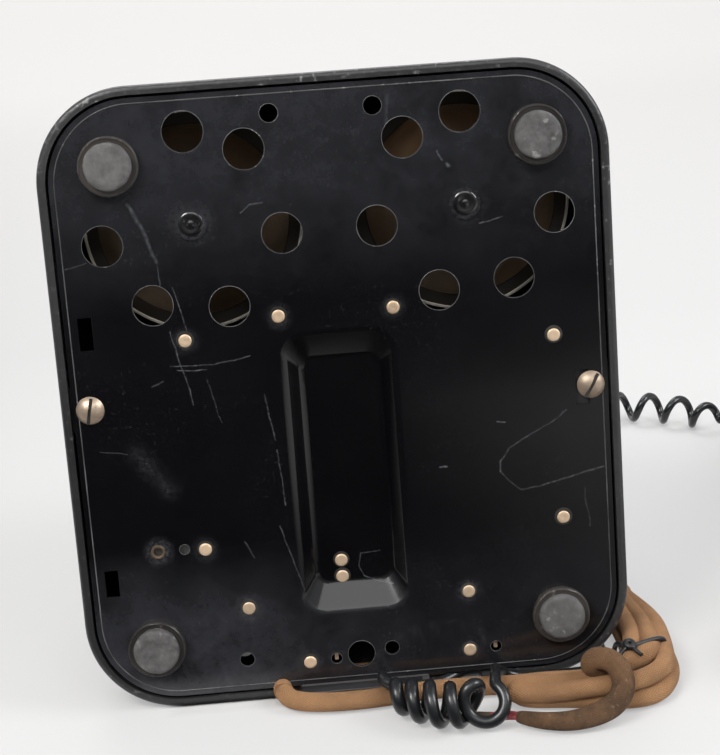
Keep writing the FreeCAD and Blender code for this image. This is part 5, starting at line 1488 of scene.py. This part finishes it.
    def build_slots(self, shade_and_grime: Material) -> None:
        """Fill the two screws' slots with a dark fill: painted shade in the slot, with some grime.

        Args:
            shade_and_grime: the dark fill's material.
        """
        slots = Shape()
        length, width, height = (size / 1000 for size in self.slot_box)
        for x, y, degrees in self.screws:
            place = Matrix.Translation(Vector((x / 1000, y / 1000, PLATE_Z - self.slot_level / 1000)))
            slots.box(Vector((-length / 2, -width / 2, -height)), Vector((length / 2, width / 2, 0.0)),
                      TO_ROW @ place @ Matrix.Rotation(math.radians(degrees), 4, "Z"))
        finished(slots.to_object("screw_slot_dirt", shade_and_grime), "plate_enamel")

    def build_hole_edges(self, repeat: Repeat, made: Materials) -> None:
        """Make the thin edges of the sound holes and of the smaller holes: worn metal, made lighter as a
        painted highlight.

        Args:
            repeat: sets the copies.
            made: the materials.
        """
        sound = []
        for x, y in self.post_places:
            inward = -math.copysign(self.sound_ring, x)
            for angle in map(math.radians, self.sound_angles):
                across, up = x + inward * math.cos(angle), y + self.sound_ring * math.sin(angle)
                sound.append(Vector((across / 1000, up / 1000, PLATE_Z)))
        Turned("sound_hole_edges", self.edge_of(self.sound_hole), "edge_line_wear_and_highlight", "plate_enamel", sides=64,
               ring=True, seed=9).build(repeat, made, sound)
        small = Shape()
        for x, y, radius in self.small_holes:
            small.lathe(millimetres(self.edge_of(radius)), upright(x / 1000, y / 1000, PLATE_Z),
                        TO_ROW.to_3x3() @ OUTWARD, 32, None, True)
        finished(small.to_object("small_hole_edges", made["edge_line_wear_and_highlight"]), "plate_enamel")

    def build(self, repeat: Repeat, made: Materials) -> None:
        """Make all the small parts.

        Args:
            repeat: sets the copies.
            made: the materials by name.
        """
        rivets = [Vector(place) / 1000 for place in self.rivet_places]
        shift = Vector(self.shade_ring_shift) / 1000
        bells = [Vector((x, y, self.bell_level)) / 1000 for x, y in self.post_places]
        posts = [Vector((x / 1000, y / 1000, PLATE_Z)) for x, y in self.post_places]
        self.rivet.build(repeat, made, rivets)
        self.build_eyelet(made["brass_dull"])
        self.rivet_shade_ring.build(repeat, made, [place + shift for place in rivets])
        self.build_screws(made["screw_worn"])
        self.build_slots(made["shade_and_grime"])
        self.bell_edge_painted_light.build(repeat, made, bells)
        self.bell_flare.build(repeat, made, bells)
        self.build_hole_edges(repeat, made)
        self.post.build(repeat, made, posts)


@dataclass
class PlateEdge:
    """Thin line along the base plate's outline: worn metal, made lighter as a painted highlight."""

    width: float = 0.1620
    height: float = 0.1845
    corner: float = 0.0238
    line: float = 0.00020

    def build(self, worn: Material) -> None:
        """Make the line.

        Args:
            worn: the line's material, worn metal with a painted highlight.
        """
        layout = Layout("outline_line", Width="Float", Height="Float", Corner="Float", Line="Float")
        tree = layout.tree
        start = layout.start
        outline = tree.add("GeometryNodeCurvePrimitiveQuadrilateral",
                           {"Width": start["Width"], "Height": start["Height"]})
        rounded = tree.add("GeometryNodeFilletCurve", {"Curve": outline.outputs[0], "Radius": start["Corner"],
                                                       "Count": 24}, mode="POLY")
        section = tree.add("GeometryNodeCurvePrimitiveCircle", {"Resolution": 8, "Radius": start["Line"]})
        body = tree.add("GeometryNodeCurveToMesh", {"Curve": rounded.outputs[0],
                                                    "Profile Curve": section.outputs[0]})
        layout.end(body.outputs[0])
        level = TO_ROW @ Matrix.Translation(Vector((0.0, 0.0, PLATE_Z)))
        line = layout.make("plate_edge_line", [Vector()], level, worn, Width=self.width, Height=self.height,
                           Corner=self.corner, Line=self.line)
        finished(line, "plate_enamel")


@dataclass
class CordBay:
    """Bar across the notch, and the brown cord that is squeezed between it and the plate."""

    bar_low: Point = (-0.0200, 0.0937, -0.0001)
    bar_high: Point = (0.0210, 0.09655, 0.0070)
    edge: float = 0.00034
    cord: Route = (
        (.0400, .0130, .0083), (.0345, .0106, .0070), (.0295, .0078, .0052), (.0246, .0048, .0044),
        (.0195, .0044, .0050), (.0080, .0060, .0051), (-.0080, .0062, .0051), (-.0190, .0060, .0051),
        (-.0243, .0062, .0042), (-.0261, .0035, .0033), (-.0259, -.0009, .0032))
    radius: float = 0.0030
    squeezed: Pair = (0.0036, 0.0056)
    bar_bevel: float = 0.0004
    edge_bevel: float = 0.00008
    end_edge: float = 0.0023
    left_end: float = 0.0185
    right_end: float = 0.0195
    squeezed_over: float = 0.0045
    floor_gap: float = 0.00012

    def build_bar(self, made: Materials) -> None:
        """Make the bar and its edge strips: worn metal, made lighter as a painted highlight.

        Args:
            made: the materials by name.
        """
        low, high = Vector(self.bar_low), Vector(self.bar_high)
        bar = Shape()
        bar.box(low, high, TO_ROW)
        finished(bar.to_object("cord_bar_enamelled", made["bar_enamel"], self.bar_bevel), "zinc",
                 "cord_bar")
        lip = self.edge
        edges = Shape()
        edges.box(Vector((low.x, low.y - lip / 3, low.z - lip / 3)),
                  Vector((high.x, low.y + lip, low.z + lip)), TO_ROW)
        edges.box(Vector((low.x, high.y - lip, low.z - lip / 3)),
                  Vector((high.x, high.y + lip / 3, low.z + lip)), TO_ROW)
        edges.box(Vector((high.x - self.end_edge, low.y + lip, low.z - lip / 6)),
                  Vector((high.x, high.y - lip, low.z + lip)), TO_ROW)
        finished(edges.to_object("cord_bar_worn_edges", made["bar_edge_wear_and_highlight"], self.edge_bevel), "zinc")

    def build_cord(self, cloth: Material) -> None:
        """Make the squeezed cord.

        Args:
            cloth: the cord's material.
        """
        line = route_line(on_floor(self.cord), 8)
        cord = tube("line_cord_inner_braid", line, lambda at: self.radius, cloth)
        flat, top = self.squeezed
        for vertex in cord.data.vertices:
            x, z = vertex.co.x, vertex.co.z
            over = clamped(((x - self.right_end) if x > 0 else (-x - self.left_end)) / self.squeezed_over)
            z = max(z, flat * (1 - over) + self.floor_gap * over)
            vertex.co.z = min(z, top) if over < 1 else z
        finished(cord, "brown_cloth", "line_cord_inner")

    def build(self, made: Materials) -> None:
        """Make the bar and the cord behind it."""
        self.build_bar(made)
        self.build_cord(made["brown_cloth"])


@dataclass
class Conductors:
    """Two insulated conductors that leave the line cord's end, each with a small tag."""

    wires: tuple[Route, ...] = (
        ((.0470, -.0286, .0031), (.0436, -.0272, .0029), (.0408, -.0266, .0026), (.0376, -.0268, .0022)),
        ((.0468, -.0280, .0036), (.0432, -.0258, .0034), (.0404, -.0246, .0028), (.0374, -.0240, .0022)))
    radius: float = 0.00085
    tag: Point = (0.0060, 0.0028, 0.0005)
    tag_bevel: float = 0.00012
    overlap: float = 0.0008

    def tag_at(self, line: Sequence[Vector], brass: Material) -> Piece:
        """Make the tag at a wire's end.

        Args:
            line: points along the wire.
            brass: the tag's material.

        Returns:
            The tag.
        """
        heading = (line[-1] - line[-4]).normalized()
        length, width, height = self.tag
        turn = Matrix.Rotation(math.atan2(heading.y, heading.x), 4, "Z")
        shape = Shape()
        shape.box(Vector((0.0, -width / 2, -height / 2)), Vector((length, width / 2, height / 2)),
                  Matrix.Translation(line[-1] - heading * self.overlap) @ turn)
        return shape.to_object("tag", brass, self.tag_bevel)

    def build(self, red: Material, brass: Material) -> None:
        """Make the conductors with their tags as one piece.

        Args:
            red: the wires' material.
            brass: the brass's material.
        """
        work = bmesh.new()
        for wire in self.wires:
            line = route_line(on_floor(wire), 6)
            take_in(work, tube("conductor", line, lambda at: self.radius, red, 10))
            before = len(work.faces)
            take_in(work, self.tag_at(line, brass))
            work.faces.ensure_lookup_table()
            for face in work.faces[before:]:
                face.material_index = 1
        finished(gathered("line_cord_conductors", work, red, brass), "brass_worn",
                 "line_cord_tags")


@dataclass
class Tie:
    """Black thread that ties the hank: a turn round it, and a knot with two short ends."""

    band: Route = (
        (.0829, -.0115, .0142), (.0860, -.0097, .0140), (.0890, -.0080, .0138), (.0922, -.0062, .0134),
        (.0948, -.0048, .0128), (.0962, -.0041, .0112), (.0962, -.0038, .0070), (.0956, -.0032, .0024),
        (.0940, -.0026, .00095), (.0920, -.0026, .0009), (.0890, -.0026, .0009), (.0860, -.0028, .0009),
        (.0815, -.0026, .0010), (.0800, -.0028, .0024), (.0798, -.0032, .0066), (.0800, -.0040, .0108),
        (.0806, -.0060, .0132), (.0816, -.0090, .0138), (.0829, -.0115, .0138))
    knot: Route = (
        (.0806, -.0100, .0146), (.0822, -.0128, .0148), (.0846, -.0118, .0152), (.0840, -.0098, .0156),
        (.0820, -.0104, .0158), (.0818, -.0124, .0155), (.0838, -.0134, .0150), (.0852, -.0110, .0146),
        (.0836, -.0096, .0142))
    tails: tuple[Route, ...] = (
        ((.0824, -.0118, .0150), (.0812, -.0132, .0149), (.0800, -.0140, .0143), (.0790, -.0150, .0138)),
        ((.0836, -.0122, .0150), (.0842, -.0140, .0148), (.0852, -.0150, .0142), (.0858, -.0162, .0140)))
    thread: float = 0.00082
    knot_share: float = 1.1
    tail_share: float = 0.8

    def build(self, black: Material) -> None:
        """Make the band, the knot and its ends as one piece.

        Args:
            black: the thread's material.
        """
        parts = [(self.band, 6, 1.0, 10), (self.knot, 6, self.knot_share, 10)]
        parts += [(tail, 5, self.tail_share, 8) for tail in self.tails]
        work = bmesh.new()
        for route, steps, share, sides in parts:
            radius = self.thread * share
            take_in(work, tube("thread", route_line(on_floor(route), steps), lambda at: radius, black, sides))
        finished(gathered("hank_tie", work, black), "tie_black", "line_cord_tie")


@dataclass
class DialFace:
    """Digits on the number plate and the card in the middle of the dial."""

    centre: Point = (0.0, 0.033892, 0.147692)
    normal: Point = (0.0, 0.798636, 0.601815)
    circle: float = 0.0272
    lift: float = 0.0036
    digit_height: float = 0.0088
    digit_depth: float = 0.00006
    card: Profile = (
        (0, 9.9), (9.6, 9.9), (9.9, 10.0), (10.0, 10.12), (9.8, 10.22), (9.2, 10.24), (0, 10.24))
    ring: Profile = (
        (9.7, 9.9), (11.6, 9.9), (11.7, 10.1), (11.3, 10.45), (10.6, 10.62), (10.0, 10.5), (9.7, 10.2))

    def frame(self) -> Matrix:
        """The dial's own frame: x right, y up the slope, z out of the dial."""
        out = Vector(self.normal).normalized()
        right = Vector((1.0, 0.0, 0.0))
        turn = Matrix((right, out.cross(right), out)).transposed().to_4x4()
        return Matrix.Translation(Vector(self.centre)) @ turn

    def digit(self, index: int) -> bpy.types.Mesh:
        """Make one digit on its place of the dial.

        Args:
            index: how many places the digit stands from the first.

        Returns:
            The digit's mesh.
        """
        data = bpy.data.curves.new("digit", "FONT")
        data.body = str((index + 1) % 10)
        data.size = self.digit_height
        data.extrude = self.digit_depth
        data.align_x = "CENTER"
        data.align_y = "CENTER"
        data.resolution_u = 4
        text = linked("digit", data)
        mesh = evaluated_mesh(text)
        bpy.data.objects.remove(text)
        angle = math.radians(30.0 * index)
        place = Vector((self.circle * math.cos(angle), self.circle * math.sin(angle), self.lift))
        mesh.transform(self.frame() @ Matrix.Translation(place))
        return mesh

    def build(self, made: Materials) -> None:
        """Make the digits as one mesh, and the card with its ring.

        Args:
            made: the materials by name.
        """
        work = bmesh.new()
        for index in range(10):
            mesh = self.digit(index)
            work.from_mesh(mesh)
            bpy.data.meshes.remove(mesh)
        bmesh.ops.remove_doubles(work, verts=work.verts, dist=1e-6)
        finished(gathered("dial_digits", work, made["digit_black"], smooth=False), "enamel_dial")
        for name, profile, sides, ring, finish, slot in (
                ("dial_card", self.card, 48, False, "card", "enamel_dial"),
                ("dial_card_ring", self.ring, 64, True, "nickel", "nickel")):
            shape = Shape()
            shape.lathe(millimetres(profile), Vector(self.centre), Vector(self.normal), sides, None, ring)
            finished(shape.to_object(name, made[finish]), slot, body="dial_wheel")


# ------------------------------------------------------------------ finishes and the whole
FINISHES: tuple[Finish, ...] = (
    Finish("black_enamel", (0.021, 0.021, 0.0225), 0.36, coat=0.15, worn=0.75, dust=0.30,
           worn_colour=(0.24, 0.235, 0.23), speck_scale=520.0, dust_colour=(0.08, 0.079, 0.081),
           relief=0.00016, relief_scale=640.0, kind=Relief.CRINKLE),
    PlateFinish("plate_enamel", (0.0018, 0.0018, 0.0024), 0.17, coat=0.30, dust=0.08, worn=0.035,
                worn_colour=(0.3, 0.3, 0.31), speck_scale=1100.0, dust_colour=(0.03, 0.03, 0.036),
                relief=0.00002, relief_scale=60.0, rough_change=0.07),
    Finish("gloss_black", (0.006, 0.006, 0.007), 0.12, coat=0.6, worn=0.2, dust=0.1,
           worn_colour=(0.2, 0.2, 0.2)),
    Finish("bar_enamel", (0.016, 0.017, 0.021), 0.3, coat=0.2, worn=0.6, dust=0.25,
           worn_colour=(0.22, 0.22, 0.22), dust_colour=(0.07, 0.07, 0.075), speck_scale=500.0,
           relief=0.00004, relief_scale=300.0),
    # Edge strips of the cord bar: worn metal, lighter as a painted highlight.
    Finish("bar_edge_wear_and_highlight", (0.16, 0.155, 0.15), 0.4, metallic=0.5, worn=0.7, worn_colour=(0.03, 0.03, 0.03),
           speck_scale=260.0),
    # Edge lines round the plate and its holes: worn metal, lighter as a painted highlight.
    Finish("edge_line_wear_and_highlight", (0.15, 0.148, 0.15), 0.4, worn=0.95, worn_colour=(0.5, 0.48, 0.46),
           speck_scale=900.0, dust=0.7, dust_colour=(0.012, 0.012, 0.013), mottle=0.2, mottle_scale=90.0),
    # Dark fill for the rivet rings and the screw slots: painted shade, with some grime in the slots.
    Finish("shade_and_grime", (0.012, 0.010, 0.008), 0.85, dust=0.2, relief=0.00005, relief_scale=2200.0),
    Finish("bakelite", (0.010, 0.0095, 0.0095), 0.16, coat=0.6, dust=0.08, worn=0.12,
           dust_colour=(0.05, 0.048, 0.045), relief=0.00001, relief_scale=500.0),
    Finish("rubber_grey", (0.120, 0.116, 0.115), 0.7, dust=0.5, worn=1.0, worn_colour=(0.3, 0.29, 0.285),
           dust_colour=(0.165, 0.16, 0.158), speck_scale=380.0, relief=0.00006, relief_scale=900.0,
           mottle=0.34, mottle_scale=330.0),
    Finish("cup_black", (0.062, 0.056, 0.053), 0.3, coat=0.1, metallic=0.35, worn=0.95, dust=0.4,
           worn_colour=(0.5, 0.44, 0.38), dust_colour=(0.16, 0.14, 0.125), speck_scale=300.0,
           relief=0.00003, relief_scale=600.0, mottle=0.5),
    Finish("brass_worn", (0.84, 0.62, 0.42), 0.42, metallic=0.45, worn=0.5, dust=0.25,
           worn_colour=(0.30, 0.2, 0.11), dust_colour=(0.6, 0.52, 0.42), speck_scale=900.0, relief=0.00004,
           relief_scale=1500.0, mottle=0.7),
    Finish("brass_dull", (0.16, 0.115, 0.075), 0.5, metallic=0.6, worn=0.6, dust=0.3,
           worn_colour=(0.35, 0.33, 0.3), speck_scale=900.0),
    Finish("nickel", (0.52, 0.50, 0.47), 0.30, metallic=0.85, worn=0.45, dust=0.2,
           worn_colour=(0.22, 0.19, 0.16), dust_colour=(0.3, 0.27, 0.24), speck_scale=700.0, relief=0.00002,
           relief_scale=900.0, mottle=0.8),
    Finish("screw_worn", (0.58, 0.45, 0.34), 0.40, metallic=0.65, worn=0.6, dust=0.35,
           worn_colour=(0.2, 0.15, 0.115), dust_colour=(0.3, 0.24, 0.19), speck_scale=700.0, relief=0.00003,
           relief_scale=900.0, mottle=0.7),
    Finish("bell_metal", (0.46, 0.36, 0.27), 0.34, metallic=0.8, worn=0.3, dust=0.3,
           worn_colour=(0.14, 0.10, 0.07), dust_colour=(0.2, 0.16, 0.125), mottle=0.6),
    Finish("bell_dark", (0.035, 0.026, 0.019), 0.5, metallic=0.3, dust=0.2),
    # Near-white rim colour: painted highlight of the lit gong edges.
    Finish("bell_edge_painted_light", (0.95, 0.87, 0.74), 0.35, metallic=0.1, worn=0.3, worn_colour=(0.5, 0.38, 0.27)),
    Finish("steel", (0.45, 0.44, 0.42), 0.32, metallic=0.95, worn=0.3, dust=0.1,
           worn_colour=(0.2, 0.18, 0.16)),
    Finish("zinc", (0.30, 0.30, 0.29), 0.5, metallic=0.8, worn=0.3, dust=0.15,
           worn_colour=(0.3, 0.3, 0.28)),
    WoundFinish("winding", (0.17, 0.05, 0.03), 0.45, relief=0.00012, worn=0.1),
    Finish("insulator", (0.16, 0.08, 0.035), 0.45, relief=0.00003, dust=0.2),
    Finish("enamel_dial", (0.72, 0.69, 0.6), 0.25, coat=0.4, dust=0.12, worn=0.2,
           worn_colour=(0.3, 0.26, 0.2), dust_colour=(0.5, 0.46, 0.38), mottle=0.94),
    Finish("card", (0.66, 0.6, 0.47), 0.7, dust=0.3, dust_colour=(0.4, 0.33, 0.22), relief=0.00002,
           relief_scale=2500.0, mottle=0.93),
    Finish("digit_black", (0.012, 0.012, 0.013), 0.35, worn=0.2, worn_colour=(0.4, 0.38, 0.33)),
    BraidFinish("brown_cloth", (0.78, 0.41, 0.19), 0.85, dust=0.35, worn=0.3, worn_colour=(0.8, 0.6, 0.42),
                dust_colour=(0.22, 0.115, 0.058), speck_scale=950.0, relief=0.0003),
    Finish("black_cord", (0.010, 0.011, 0.0125), 0.26, coat=0.12, dust=0.12,
           dust_colour=(0.05, 0.05, 0.052), relief=0.00001),
    Finish("conductor_red", (0.30, 0.022, 0.03), 0.55, dust=0.3),
    Finish("tie_black", (0.012, 0.012, 0.013), 0.4, relief=0.00005, relief_scale=2600.0, worn=0.3,
           worn_colour=(0.09, 0.08, 0.07)),
)


def dress_nodes(made: Materials) -> None:
    """Give every CAD node the finish of its material slot.

    Args:
        made: the materials by name.
    """
    slots = {entry["node"]: entry["material_slot"] for entry in frame["record"]["subparts"]}
    slots["casing_screws"] = "screw_worn"
    for name, node in frame["nodes"].items():
        node.data.materials.clear()
        node.data.materials.append(made[slots[name]])
        LOG.info("node %s wears %s", name, slots[name])


def main() -> None:
    """Build the studio, the cords and every other piece."""
    Studio().build()
    made = {finish.name: finish.build() for finish in FINISHES}
    LineCord().build(made["brown_cloth"])
    CurlyCord().build(made["black_cord"])
    dress_nodes(made)
    repeat = Repeat()
    Feet().build(repeat, made)
    Fasteners().build(repeat, made)
    PlateEdge().build(made["edge_line_wear_and_highlight"])
    CordBay().build(made)
    Conductors().build(made["conductor_red"], made["brass_dull"])
    Tie().build(made["tie_black"])
    DialFace().build(made)


if __name__ == "__main__":
    logging.basicConfig(level=logging.INFO)
    main()
